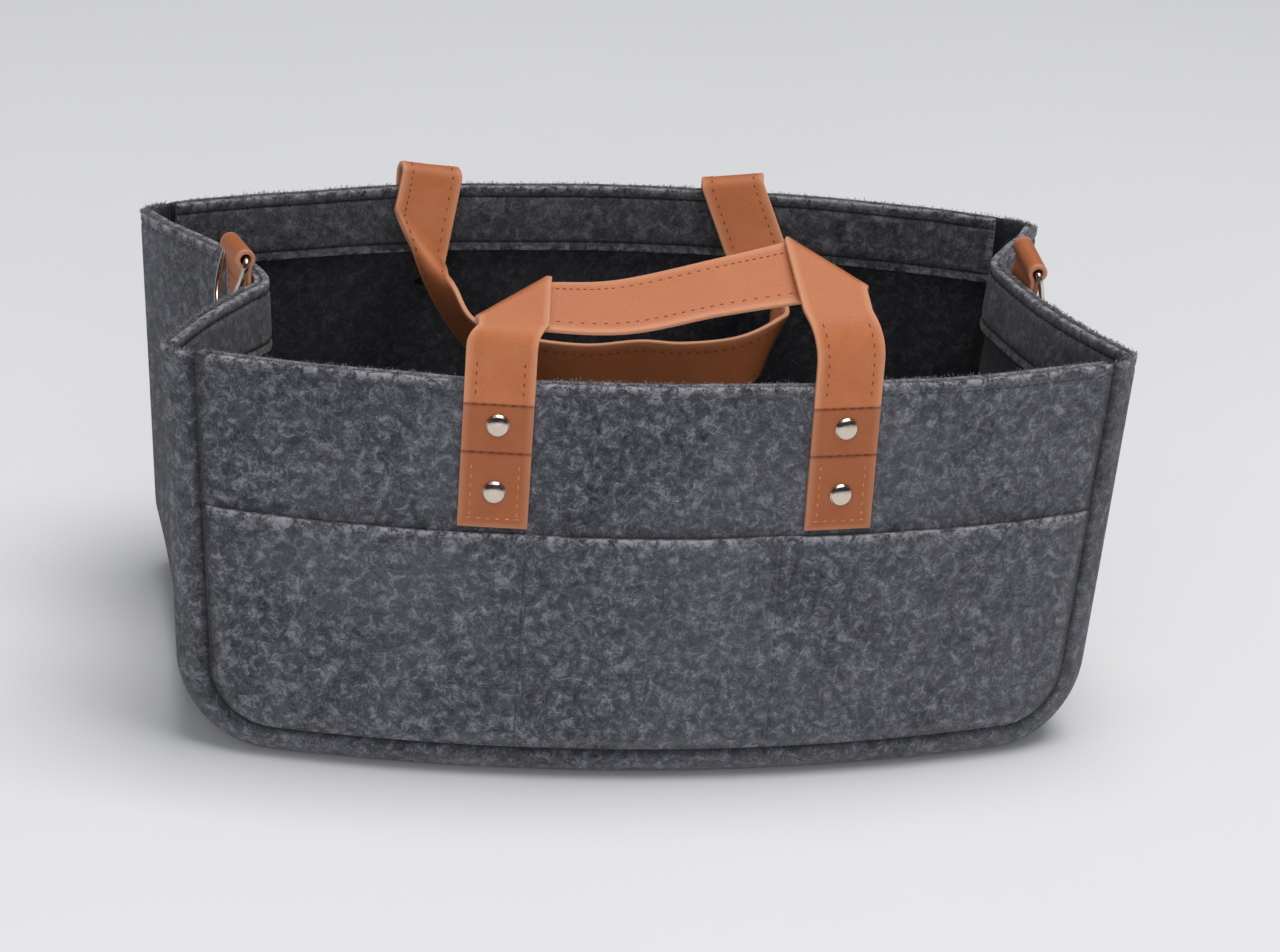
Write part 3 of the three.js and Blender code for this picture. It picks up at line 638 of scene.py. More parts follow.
@dataclass
class Cloth:
    """A cut sheet of felt or leather with rounded edges, laid out as a grid of cuts.

    Args:
        across: Rising cuts across the sheet, in millimetres.
        down: Rising cuts down the sheet.
        thickness: Its thickness.
        edge: Radius of its rounded edges.
        square_start: Whether the first cut of down is left square.
        square_end: Whether the last cut of down is left square.
        sewn_sides: Whether its two sides lie in a seam.
        sewn_end: Whether its last cut lies in a seam.
        grooves: Places down the sheet of lines that are pressed in, which get painted shade.
        shaded: Gives how much darker the sheet is painted, from the cut down and the face, 1 or -1; the
            default is painted shade on the inner face.
    """

    across: list[float]
    down: list[float]
    thickness: float
    edge: float
    square_start: bool = False
    square_end: bool = False
    sewn_sides: bool = False
    sewn_end: bool = False
    grooves: Sequence[float] = ()
    shaded: Callable[[float, int], float] = inner_face

    def wear_and_seam_shade(self, u: float, v: float) -> Pair:
        """How worn the sheet is as a free cut edge, and how much painted shade it gets in and beside a seam
        or sewn line.
        """
        free = [v - self.down[0]]
        joined = []
        (joined if self.sewn_sides else free).append(min(u - self.across[0], self.across[-1] - u))
        (joined if self.sewn_end else free).append(self.down[-1] - v)
        seams = [bell(max(distance, 0.0), SEAM_REACH) for distance in joined]
        seams += [bell(v - line, LINE_REACH) for line in self.grooves]
        return bell(max(min(free), 0.0), WEAR_REACH), max(seams, default=0.0)

    def build(self, name: str, place: Place, material: Material) -> Object:
        """Makes the closed sheet: two faces that meet along the rounded edges.

        Args:
            name: The piece's name.
            place: Gives its points.
            material: Its finish.

        Returns:
            The object.
        """
        full_across = fullness(self.across, self.edge)
        full_down = fullness(self.down, self.edge)
        half = len(full_down) // 2
        if self.square_start:
            full_down[:half] = [1.0] * half
        if self.square_end:
            full_down[half + 1 :] = [1.0] * (len(full_down) - half - 1)
        columns, rows = len(self.across) - 1, len(self.down) - 1
        bm = bmesh.new()
        layers = bm.verts.layers.float
        # Per vertex: wear of the free cut edges, how much darker the sheet is painted, and painted shade in
        # and beside its seams and sewn lines
        worn, shade, groove = (layers.new(key) for key in ("edge", "shade", "groove"))
        flat = bm.loops.layers.uv.new("cut")
        for facing in (1, -1):
            made = bmesh.ops.create_grid(bm, x_segments=columns, y_segments=rows, size=1.0)["verts"]
            for vert in made:
                column = round((vert.co.x + 1) / 2 * columns)
                row = round((vert.co.y + 1) / 2 * rows)
                share = min(full_across[column], full_down[row])
                u, v = self.across[column], self.down[row]
                vert[worn], vert[groove] = self.wear_and_seam_shade(u, v)
                vert[shade] = self.shaded(v, facing)
                for loop in vert.link_loops:
                    loop[flat].uv = (u * MM, v * MM)
                vert.co = to_frame(place(u, v, facing * share * self.thickness / 2))
        bmesh.ops.remove_doubles(bm, verts=bm.verts, dist=1e-7)
        square_ends = [edge for edge in bm.edges if edge.is_boundary]
        if square_ends:
            bmesh.ops.holes_fill(bm, edges=square_ends, sides=0)
        bmesh.ops.recalc_face_normals(bm, faces=bm.faces)
        return finished(name, bm, material)


def lathe(
    name: str, profile: Sequence[Pair], centre: Vector, axis: Vector, steps: int,
    material: Material,
) -> Object:
    """Spins a profile about an axis.

    Args:
        name: The piece's name.
        profile: Pairs of radius and height along the axis, in millimetres, from pole to pole.
        centre: Where height 0 lies.
        axis: The axis, pointing away from the bag.
        steps: Steps in a full turn.
        material: Its finish.

    Returns:
        The object.
    """
    bm = bmesh.new()
    verts = [bm.verts.new((radius * MM, 0.0, height * MM)) for radius, height in profile]
    edges = [bm.edges.new(pair) for pair in zip(verts, verts[1:])]
    bmesh.ops.spin(
        bm, geom=verts + edges, axis=(0, 0, 1), angle=math.tau, steps=steps, use_merge=True
    )
    bmesh.ops.remove_doubles(bm, verts=bm.verts, dist=1e-6)
    bmesh.ops.recalc_face_normals(bm, faces=bm.faces)
    turn = axis.to_track_quat("Z", "Y").to_matrix().to_4x4()
    bmesh.ops.transform(bm, matrix=Matrix.Translation(to_frame(centre)) @ turn, verts=bm.verts)
    return finished(name, bm, material)


@dataclass(frozen=True)
class Stitch:
    """One visible thread between two holes, in millimetres."""

    middle: Vector
    along: Vector
    normal: Vector
    length: float
    width: float


def sewn(
    name: str, stitches: Sequence[Stitch], material: Material, sides: int = 6
) -> Object:
    """Lays a row of stitches as short rounded threads.

    Args:
        name: The piece's name.
        stitches: The stitches.
        material: The thread's finish.
        sides: Sides of a thread.

    Returns:
        The object.
    """
    bm = bmesh.new()
    rings = max(3, sides - 1)
    for start in range(0, len(stitches), STITCH_RUN):
        run = bmesh.new()
        for stitch in stitches[start : start + STITCH_RUN]:
            along = stitch.along.normalized()
            side = stitch.normal.cross(along).normalized()
            turn = Matrix((along, side, along.cross(side))).transposed().to_4x4()
            radius = stitch.width * MM / 2
            size = Matrix.Diagonal((stitch.length * MM / 2, radius, radius, 1.0))
            place = Matrix.Translation(to_frame(stitch.middle))
            bmesh.ops.create_uvsphere(
                run, u_segments=sides, v_segments=rings, radius=1.0, matrix=place @ turn @ size
            )
        part = bpy.data.meshes.new(name)
        run.to_mesh(part)
        run.free()
        bm.from_mesh(part)
        bpy.data.meshes.remove(part)
    return finished(name, bm, material)


# The bag's shape, in millimetres about its own middle

# Place on the end profile: x, z and the two parts of the normal, which points into the bag
Profile = tuple[float, float, float, float]


@dataclass(frozen=True)
class BagShape:
    """Sizes of the felt body and the surfaces that its pieces lie on.

    Args:
        length: Length between the ends at the rim.
        depth: Depth of the bulging long walls at the middle.
        height: Height of the rim.
        front_bow, back_bow: Bulge of each long wall.
        felt, strap: Thickness of the felt and of the straps.
        end_lean: How far each end leans out from its bend to the rim.
        base_bend, corner: Radius of the bends to the base and of the upright corners.
        seam_lip: Width of the gusset's edge that is sewn to a long wall.
        seam_gap, layer_gap: Gap in a seam, where felts press together, and between other layers.
        strap_width, handle_spacing: Width of the straps, and distance between a handle's legs.
        left_fold_depth, right_fold_depth: Depth of each end's fold at the rim.
        left_fold, right_fold: Course of each fold: shares of the way to the back and its depth.
        fold_fade_top, fold_fade_bottom: Heights where a fold has its full depth and none.
        anchor_drop, anchor_length: Drop below the rim and length of the riveted strap ends.
        pocket_gap: Distance of the pockets' upper edge below the strap ends.
        facing_depth: Width of the rim facings.
    """

    MIDDLE_Y = 3.5
    length: float = 400.0
    depth: float = 278.0
    height: float = 168.0
    front_bow: float = 40.0
    back_bow: float = 47.0
    felt: float = 3.0
    end_lean: float = 10.0
    base_bend: float = 38.0
    corner: float = 10.0
    seam_lip: float = 2.5
    seam_gap: float = -0.3
    layer_gap: float = 0.3
    strap: float = 2.4
    strap_width: float = 28.0
    handle_spacing: float = 139.0
    left_fold_depth: float = 43.0
    right_fold_depth: float = 28.0
    left_fold: tuple = (
        (0, 0), (0.2, 0.38), (0.38, 0.8), (0.47, 1),
        (0.56, 0.94), (0.74, 0.6), (0.9, 0.2), (1, 0),
    )
    right_fold: tuple = (
        (0, 0), (0.18, 0.42), (0.37, 0.75), (0.55, 0.93),
        (0.67, 1), (0.8, 0.66), (0.92, 0.22), (1, 0),
    )
    fold_fade_top: float = 95.0
    fold_fade_bottom: float = 14.0
    anchor_drop: float = 10.0
    anchor_length: float = 50.0
    pocket_gap: float = 2.5
    facing_depth: float = 30.0

    @property
    def half_length(self) -> float:
        """Half of the length."""
        return self.length / 2

    @property
    def wall_inset(self) -> float:
        """Distance of a long wall's sewn edges from the end profile."""
        return self.corner + self.seam_lip + self.seam_gap / 2

    @property
    def lean(self) -> float:
        """Angle by which the ends lean out."""
        return math.atan(self.end_lean / (self.height - self.base_bend))

    @property
    def side_length(self) -> float:
        """Length of the leaning side of an end, down to the bend."""
        drop = self.height - self.base_bend * (1 - math.sin(self.lean))
        return drop / math.cos(self.lean)

    @property
    def bend_centre(self) -> float:
        """Distance of the bend's centre from the middle."""
        foot = self.half_length - self.side_length * math.sin(self.lean)
        return foot - self.base_bend * math.cos(self.lean)

    @property
    def facing_far(self) -> float:
        """Depth of the inner face of a rim facing."""
        return self.felt + self.layer_gap + self.felt

    @property
    def anchor_top(self) -> float:
        """Height of the top of the anchors."""
        return self.height - self.anchor_drop

    @property
    def anchor_bottom(self) -> float:
        """Height of the lower end of the anchors."""
        return self.anchor_top - self.anchor_length

    def bow(self, side: Side) -> float:
        """Bulge of a long wall."""
        return self.front_bow if side is Side.FRONT else self.back_bow

    def ripple(self, side: Side, x: float, z: float) -> float:
        """Slack of a long wall, outwards, which fades out at the seams and the handles."""
        at = Vector((x * 0.011, z * 0.014, side.value * 7.3))
        free = smoothstep(self.half_length - abs(x), 12, 46) * smoothstep(z, 14, 46)
        held = smoothstep(abs(abs(x) - self.handle_spacing / 2), 14, 34)
        free *= mix(held, 1.0, smoothstep(self.anchor_bottom - z, 0, 20))
        return 1.5 * free * noise.noise(at) + 0.5 * free * noise.noise(at * 3.1)

    def rim_wave(self, side: Side, x: float) -> float:
        """Rise and fall of a long wall's rim."""
        return 0.7 * noise.noise(Vector((x * 0.02, side.value * 3.0, 0.0)))

    def rise(self, side: Side, x: float, z: float) -> float:
        """How much of the rim's rise and fall a height takes part in."""
        return self.rim_wave(side, x) * smoothstep(z, 120, 168)

    def wall_y(self, side: Side, x: float) -> float:
        """Place of a long wall's outer face."""
        corner = (self.depth - self.front_bow - self.back_bow) / 2
        return side.value * (corner + self.bow(side) * (1 - (x / self.half_length) ** 2))

    def wall_normal(self, side: Side, x: float) -> Vector:
        """Normal of a long wall, out of the bag."""
        slope = -2 * self.bow(side) * x / self.half_length**2
        return Vector((-slope, side.value, 0.0)).normalized()

    def wall_point(self, side: Side, x: float, z: float, depth: float) -> Vector:
        """Point at a depth behind the outer face of a long wall."""
        outer = Vector((x, self.wall_y(side, x), z))
        return outer + self.wall_normal(side, x) * (self.ripple(side, x, z) - depth)

    def leg_x(self, hand: Hand) -> float:
        """Place of a handle's leg along the bag."""
        return hand.value * self.handle_spacing / 2

    @property
    def profile_length(self) -> float:
        """Length of the end profile from the rim to the start of the flat base."""
        return self.side_length + self.base_bend * (math.pi / 2 - self.lean)

    def profile(self, run: float) -> Profile:
        """Place on the left half of the end profile.

        Args:
            run: Distance from the rim along the profile; past the bend it is on the base.

        Returns:
            x, z and the two parts of the normal, which points into the bag.
        """
        if run <= self.side_length:
            x = -self.half_length + run * math.sin(self.lean)
            return (x, self.height - run * math.cos(self.lean), 1.0, 0.0)
        angle = self.lean + (run - self.side_length) / self.base_bend
        if angle <= math.pi / 2:
            x = -self.bend_centre - self.base_bend * math.cos(angle)
            return (x, self.base_bend * (1 - math.sin(angle)), math.cos(angle), math.sin(angle))
        return (-self.bend_centre + run - self.profile_length, 0.0, 0.0, 1.0)

    def end_place(self, hand: Hand, z: float) -> Profile:
        """Place on the leaning side of an end at a height."""
        x, z, nx, nz = self.profile((self.height - z) / math.cos(self.lean))
        return (x * -hand.value, z, nx * -hand.value, nz)

    @property
    def corner_run(self) -> float:
        """Cloth from a seam to the end of a rounded corner."""
        return self.seam_lip - self.seam_gap / 2 + self.corner * math.pi / 2

    @property
    def end_span(self) -> float:
        """Distance between the two rounded corners of an end."""
        return self.depth - self.front_bow - self.back_bow - 2 * self.corner

    @property
    def section_length(self) -> float:
        """Width of the gusset strip before it is folded in."""
        return 2 * self.corner_run + self.end_span

    def section(self, place: Profile, hand: Hand, cut: float) -> Pair:
        """Place on the gusset's section between its two seams.

        Args:
            place: Place on the end profile.
            hand: The end.
            cut: Distance across the strip from the front seam, in millimetres.

        Returns:
            Inset from the profile, and y.
        """
        x, z, nx, _ = place
        side = Side.FRONT if cut < self.section_length / 2 else Side.BACK
        local = cut if side is Side.FRONT else self.section_length - cut
        lip = self.seam_lip - self.seam_gap / 2
        if local < self.corner_run:
            angle = max(local - lip, 0.0) / self.corner
            depth = self.corner * (1 - math.sin(angle)) + max(lip - local, 0.0)
            turn = self.corner * (1 - math.cos(angle))
            return depth, self.wall_y(side, x + nx * depth) - side.value * turn
        front = self.wall_y(Side.FRONT, x) + self.corner
        back = self.wall_y(Side.BACK, x) - self.corner
        along = (cut - self.corner_run) / self.end_span
        fold = self.left_fold if hand is Hand.LEFT else self.right_fold
        deep = self.left_fold_depth if hand is Hand.LEFT else self.right_fold_depth
        point = catmull_rom([Vector((a, d, 0.0)) for a, d in fold], along)
        fade = smoothstep(z, self.fold_fade_bottom, self.fold_fade_top)
        return point.y * deep * fade, mix(front, back, point.x)

    def strip_place(self, run: float) -> tuple[Profile, Hand]:
        """Place along the whole gusset strip.

        Args:
            run: Distance from the left rim, down, along the base and up to the right rim.

        Returns:
            The place on the end profile and the half of the bag it is in.
        """
        total = self.strip_length
        if run <= total / 2:
            return self.profile(run), Hand.LEFT
        x, z, nx, nz = self.profile(total - run)
        return (-x, z, -nx, nz), Hand.RIGHT

    @property
    def strip_length(self) -> float:
        """Length of the gusset strip from rim to rim."""
        return 2 * (self.profile_length + self.bend_centre)

    def strip_point(self, cut: float, run: float) -> Vector:
        """Point on the gusset's outer face, at a cut across it and a run along it."""
        (x, z, nx, nz), hand = self.strip_place(run)
        depth, y = self.section((x, z, nx, nz), hand, cut)
        return Vector((x + nx * depth, y, z + nz * depth))

    def strip_frame(self, cut: float, run: float) -> tuple[Vector, Vector]:
        """Point on the gusset's outer face and its normal, which points out of the bag."""
        step = 0.6
        low, high = max(cut - step, 0.0), min(cut + step, self.section_length)
        before, after = max(run - step, 0.0), min(run + step, self.strip_length)
        across = self.strip_point(high, run) - self.strip_point(low, run)
        along = self.strip_point(cut, after) - self.strip_point(cut, before)
        point = self.strip_point(cut, run)
        normal = along.cross(across).normalized()
        if normal.dot(point - Vector((0.0, 0.0, self.height / 2))) < 0:
            normal = -normal
        slack = self.strip_ripple(point, cut)
        return point + normal * slack, normal

    def strip_ripple(self, point: Vector, cut: float) -> float:
        """Slack of the gusset, which fades out at the seams, the base and the ring tabs."""
        to_seam = min(cut, self.section_length - cut)
        free = smoothstep(to_seam, self.corner_run, self.corner_run + 30)
        free *= smoothstep(point.z, 20, 60) * mix(1.0, 0.1, smoothstep(point.z, 105, 135))
        return 1.3 * free * noise.noise(point * 0.017 + Vector((3.0, 1.0, 5.0)))


# Felt body


def drawn_in(to_seam: float, reach: float, to_line: float) -> float:
    """How deep felt is drawn in within reach of a seam and beside a sewn line."""
    return SEAM_DRAW * (1 - smoothstep(to_seam, 0, reach)) + LINE_DRAW * bell(to_line, LINE_SPREAD)


@dataclass
class FeltBody:
    """The felt walls, pockets, folded ends and rim facings.

    Args:
        shape: The bag's shape.
        cell: Widest spacing of the cuts.
        edge: Radius of the felt's cut edges.
        facing_end_gap: Distance of the straight facings from the seams.
        pocket_inset: Distance of the pockets' edges from the walls' edges.
        pocket_gape: How far a pocket's upper edge stands off.
        rim_line: Distance of the sewn line below the rim.
        lip: Distance of the facings' sewn line from their lower edge.
        pocket_lines: Places of the pockets' sewn lines along the bag.
        stitch_pitch: Distance between stitches.
        row_margin: Distance of a row's ends from those of the felt that it sews.
        thread_sink: Depth of the threads' middle in the felt.
        outer_sink: The same for the outer row along the rims.
        rim_fibres: Loose fibres sown along one rim.
        tab_room: Part of an end's rim that is kept clear of fibres for its tab.
        threads: Stitches of dark thread on the inner faces.
        outer_threads: Stitches of grey thread on the outer faces.
    """

    shape: BagShape
    cell: float = 3.0
    edge: float = 0.9
    facing_end_gap: float = 2.0
    pocket_inset: float = 1.0
    pocket_gape: float = 1.5
    rim_line: float = 4.6
    lip: float = 4.2
    pocket_lines: Pair = (-56.0, 47.0)
    stitch_pitch: float = 4.2
    row_margin: float = 3.0
    thread_sink: float = 0.66
    outer_sink: float = 0.52
    rim_fibres: int = 1500
    tab_room: Pair = (-18.0, 28.0)
    threads: list[Stitch] = field(default_factory=list)
    outer_threads: list[Stitch] = field(default_factory=list)

    @property
    def facing_half(self) -> float:
        """Half length of a long wall's facing."""
        shape = self.shape
        return shape.half_length - shape.corner - shape.seam_lip - self.facing_end_gap

    def layer(self, outer: float, inner: float, lift: float) -> float:
        """Depth behind the wall's face at a lift above the middle of a layer of felt."""
        return mix(outer, inner, 0.5 - lift / self.shape.felt)

    def wall_edge(self, run: float, inset: float) -> Pair:
        """Half width and height of a long wall's cloth at a run down the end profile."""
        x, z, nx, nz = self.shape.profile(run)
        return -(x + nx * inset), z + nz * inset

    def wall_place(
        self, side: Side, inset: float, layer: Callable[[float, float, float, float], float]
    ) -> Place:
        """Place function of a cloth on a long wall.

        Args:
            side: The wall.
            inset: Distance of the cloth's edges from the end profile.
            layer: Depth from x, z, the distance to the nearest sewn edge and the lift.

        Returns:
            The place function, with x at the rim as its cut across.
        """
        shape = self.shape
        straight = 110.0
        full = shape.half_length - inset

        def place(u: float, v: float, lift: float) -> Vector:
            """Point of the cloth."""
            half, z = self.wall_edge(v, inset)
            x = u
            if abs(u) > straight:
                reach = straight + (abs(u) - straight) * (half - straight) / (full - straight)
                x = math.copysign(reach, u)
            to_seam = min(half - abs(x), z - inset + 0.4)
            return shape.wall_point(side, x, z + shape.rise(side, x, z), layer(x, z, to_seam, lift))

        return place

    def build_wall(self, side: Side, material: Material) -> Object:
        """Makes one long wall."""
        shape = self.shape
        inset = shape.wall_inset
        half = shape.half_length - inset
        line = shape.height - self.rim_line

        def layer(x: float, z: float, to_seam: float, lift: float) -> float:
            """Depth in the wall, which is drawn in at the seams and along the rim line."""
            return self.layer(drawn_in(to_seam, 4.5, z - line), shape.felt, lift)

        across = spaced(-half, half, self.cell, self.edge)
        down = spaced(0.0, shape.profile_length, self.cell, self.edge, [self.rim_line])
        cloth = Cloth(across, down, shape.felt, self.edge, sewn_sides=True, sewn_end=True)
        wall = cloth.build(f"{side.label}_wall_felt", self.wall_place(side, inset, layer), material)
        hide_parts(f"{side.label}_panel")
        return wall

    def build_pocket(self, side: Side, material: Material) -> Object:
        """Makes the open pocket on one long wall."""
        shape = self.shape
        inset = shape.wall_inset + self.pocket_inset
        half = shape.half_length - inset
        top = shape.anchor_bottom - shape.pocket_gap
        start = (shape.height - top) / math.cos(shape.lean)

        def layer(x: float, z: float, to_seam: float, lift: float) -> float:
            """Depth in the pocket, which is drawn to the wall at its seams and sewn lines."""
            held = 1 - smoothstep(to_seam, 0, 7)
            line = max(bell(x - place, 1.0) for place in self.pocket_lines)
            near_line = min(abs(x - place) for place in self.pocket_lines)
            gap = self.pocket_gape * smoothstep(z, top - 34, top)
            gap *= smoothstep(min(near_line, to_seam), 2, 40)
            outer = mix(-shape.layer_gap - shape.felt, -0.9, held) - gap + 0.75 * line
            inner = mix(-shape.layer_gap, -0.1, held) - gap
            return self.layer(outer, inner, lift)

        across = spaced(-half, half, self.cell, self.edge, self.pocket_lines)
        down = spaced(start, shape.profile_length, self.cell, self.edge)
        cloth = Cloth(across, down, shape.felt, self.edge, sewn_sides=True, sewn_end=True)
        place = self.wall_place(side, inset, layer)
        pocket = cloth.build(f"{side.label}_pocket_felt", place, material)
        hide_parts(f"{side.label}_pocket")
        for x in self.pocket_lines:
            self.sew_upright(side, x, inset + self.row_margin, top - self.row_margin)
        return pocket

    def sew_upright(self, side: Side, x: float, low: float, high: float) -> None:
        """Sews a pocket line from its bottom to its top."""
        shape = self.shape
        depth = -shape.layer_gap - shape.felt + self.thread_sink
        for z in along_row(low, high, self.stitch_pitch):
            middle, normal = shape.wall_point(side, x, z, depth), shape.wall_normal(side, x)
            self.outer_threads.append(Stitch(middle, UP, normal, *POCKET_STITCH))

    def strip_cloth(
        self, run: Callable[[float], float], layer: Callable[[float, float, float], float]
    ) -> Place:
        """Place function of a cloth on the gusset strip.

        Args:
            run: Distance along the strip from the cut down.
            layer: Depth from the cut across, the cut down and the lift.

        Returns:
            The place function.
        """
        known: dict[Pair, tuple[Vector, Vector]] = {}

        def place(u: float, v: float, lift: float) -> Vector:
            """Point of the cloth."""
            if (u, v) not in known:
                known[u, v] = self.shape.strip_frame(u, run(v))
            point, normal = known[u, v]
            return point - normal * layer(u, v, lift)

        return place

    def build_gusset(self, material: Material) -> Object:
        """Makes the strip that forms both ends and the base."""
        shape = self.shape
        line = self.rim_line
        width, length = shape.section_length, shape.strip_length

        def layer(u: float, v: float, lift: float) -> float:
            """Depth in the strip, which is drawn in at the seams and along the rim lines."""
            to_seam = min(u, width - u)
            to_rim = min(v, length - v)
            return self.layer(drawn_in(to_seam, 3.5, to_rim - line), shape.felt, lift)

        across = spaced(0.0, width, self.cell, self.edge, [4.5, width - 4.5])
        down = spaced(0.0, length, self.cell, self.edge, [line, length - line])
        cloth = Cloth(across, down, shape.felt, self.edge, sewn_sides=True)
        gusset = cloth.build("gusset_felt", self.strip_cloth(lambda v: v, layer), material)
        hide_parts("gusset")
        return gusset

    def facing_layer(self, drop: float, lift: float) -> float:
        """Depth in a rim facing at a drop below the rim, pressed in along its two sewn lines."""
        shape = self.shape
        upper = bell(drop - self.rim_line, LINE_SPREAD)
        lower = bell(shape.facing_depth - self.lip - drop, LINE_SPREAD)
        pressed = 0.75 * upper + 0.7 * lower
        return self.layer(shape.felt + shape.layer_gap, shape.facing_far - pressed, lift)

    def facing_cloth(self, start: float, end: float) -> Cloth:
        """Cloth of a rim facing from start to end along the rim."""
        shape = self.shape
        lines = [self.rim_line, shape.facing_depth - self.lip]
        across = spaced(start, end, self.cell, self.edge)
        down = spaced(0.0, shape.facing_depth, 2.4, self.edge, lines)
        return Cloth(across, down, shape.felt, self.edge, grooves=lines)

    def build_side_facing(self, side: Side, material: Material) -> Object:
        """Makes the rim facing of one long wall."""
        shape = self.shape
        half = self.facing_half

        def place(u: float, v: float, lift: float) -> Vector:
            """Point of the facing."""
            z = shape.height - v
            return shape.wall_point(side, u, z + shape.rise(side, u, z), self.facing_layer(v, lift))

        cloth = self.facing_cloth(-half, half)
        facing = cloth.build(f"{side.label}_facing_felt", place, material)
        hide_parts(f"{side.label}_rim_facing")
        self.sew_side(side)
        return facing

    def facing_rows(self) -> list[tuple[float, float, list[Stitch]]]:
        """Drop below the rim, depth and list of each row of stitches that holds a facing."""
        inner = self.shape.facing_far - self.thread_sink
        return [
            (self.rim_line, self.outer_sink, self.outer_threads),
            (self.rim_line, inner, self.threads),
            (self.shape.facing_depth - self.lip, inner, self.threads),
        ]

    def sew_side(self, side: Side) -> None:
        """Sews the two lines of a long wall's facing, seen on both faces of the wall."""
        shape = self.shape
        end = self.facing_half - self.row_margin
        for x in along_row(-end, end, self.stitch_pitch):
            normal = shape.wall_normal(side, x)
            along = UP.cross(normal)
            for drop, depth, row in self.facing_rows():
                z = shape.height - drop + shape.rim_wave(side, x)
                middle = shape.wall_point(side, x, z, depth)
                row.append(Stitch(middle, along, normal, *FELT_STITCH))

    def build_end_facing(self, hand: Hand, material: Material) -> Object:
        """Makes the rim facing of one folded end."""
        shape = self.shape
        start = shape.corner_run
        end = shape.section_length - start

        def along_strip(v: float) -> float:
            """Run along the gusset strip at a drop below the rim."""
            run = v / math.cos(shape.lean)
            return run if hand is Hand.LEFT else shape.strip_length - run

        place = self.strip_cloth(along_strip, lambda _, v, lift: self.facing_layer(v, lift))
        cloth = self.facing_cloth(start, end)
        facing = cloth.build(f"{hand.label}_facing_felt", place, material)
        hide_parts(f"{hand.label}_rim_facing")
        self.sew_end(start, end, along_strip)
        return facing

    def sew_end(self, start: float, end: float, along_strip: Callable[[float], float]) -> None:
        """Sews the two lines of an end's facing, seen on both faces of the end."""
        shape = self.shape
        cut = start + self.row_margin
        while cut < end - self.row_margin:
            for drop, depth, row in self.facing_rows():
                point, normal = shape.strip_frame(cut, along_strip(drop))
                following, _ = shape.strip_frame(cut + 1, along_strip(drop))
                stretch = (following - point).length
                row.append(Stitch(point - normal * depth, following - point, normal, *FELT_STITCH))
            cut += self.stitch_pitch / max(stretch, 0.5)

    def loose_fibres(self) -> list[Stitch]:
        """Short fibres that stand up from the rims, clear of the straps and the ring tabs."""
        shape = self.shape
        dice = random.Random(5)
        sunk = 0.3
        roots = []
        for side in Side:
            for _ in range(self.rim_fibres):
                x = dice.uniform(-self.facing_half, self.facing_half)
                if min(abs(x - shape.leg_x(hand)) for hand in Hand) < shape.strap_width / 2 + 4:
                    continue
                top = shape.height + shape.rim_wave(side, x) - sunk
                root = shape.wall_point(side, x, top, dice.uniform(sunk, shape.facing_far - sunk))
                roots.append((root, shape.wall_normal(side, x)))
        for run in (sunk, shape.strip_length - sunk):
            for _ in range(self.rim_fibres):
                cut = dice.uniform(1.0, shape.section_length - 1.0)
                point, normal = shape.strip_frame(cut, run)
                if not self.tab_room[0] < point.y < self.tab_room[1]:
                    roots.append((point - normal * dice.uniform(sunk, shape.felt - sunk), normal))
        fibres = []
        for root, normal in roots:
            along = UP.cross(normal)
            grown = UP + normal * dice.uniform(-1.0, 1.0) + along * dice.uniform(-1.6, 1.6)
            grown.normalize()
            length = dice.uniform(1.0, 2.8)
            middle = root + grown * length * 0.45
            fibres.append(Stitch(middle, grown, normal, length, dice.uniform(0.2, 0.42)))
        return fibres

    def build(self, wardrobe: Wardrobe) -> list[Object]:
        """Makes all the felt pieces and their stitching.

        Args:
            wardrobe: The finishes.

        Returns:
            The pieces.
        """
        pieces = [self.build_gusset(wardrobe.felt)]
        for side in Side:
            pieces.append(self.build_wall(side, wardrobe.felt))
            pieces.append(self.build_pocket(side, wardrobe.felt))
            pieces.append(self.build_side_facing(side, wardrobe.facing))
        pieces += [self.build_end_facing(hand, wardrobe.facing) for hand in Hand]
        for piece in pieces:
            "facing_felt" if "facing" in piece.name else "felt"
        for name, threads, thread, sides in (
            ("facing_stitching", self.threads, wardrobe.dark_thread, 6),
            ("outer_stitching", self.outer_threads, wardrobe.grey_thread, 6),
            ("rim_fibres", self.loose_fibres(), wardrobe.loose_fibre, 3),
        ):
            stitching = sewn(name, threads, thread, sides)
            pieces.append(stitching)
        for piece in pieces:
            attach(piece, "bag")
        return pieces


# Handles


@dataclass(frozen=True)
class Station:
    """A place along a strap: its two edges."""

    outer: Vector
    inner: Vector

    @property
    def middle(self) -> Vector:
        """Middle between the edges."""
        return (self.outer + self.inner) / 2


@dataclass(frozen=True)
class LegSizes:
    """Sizes of one leg of a handle: slope and drift of the part that leaves the wall.

    Args:
        slope: Angle above level, in degrees.
        reach: Length of the leaning part.
        drift: Share by which it runs towards the middle.
        rise: Height of the bend above the rim, on the front handle.
        shift: How far the leaning part of the front handle lies towards the middle.
        bend: Half length of the bend above the rim, on the front handle.
        lead: How far the inner edge leads at the crease, on the back handle.
        lift: Height of the arch's centre above the rim, on the back handle.
        tilt: Sideways tilt of the arch, in degrees.
    """

    slope: float
    reach: float
    drift: float
    rise: float = 0.0
    shift: float = 0.0
    bend: float = 0.0
    lead: float = 0.0
    lift: float = 0.0
    tilt: float = 0.0


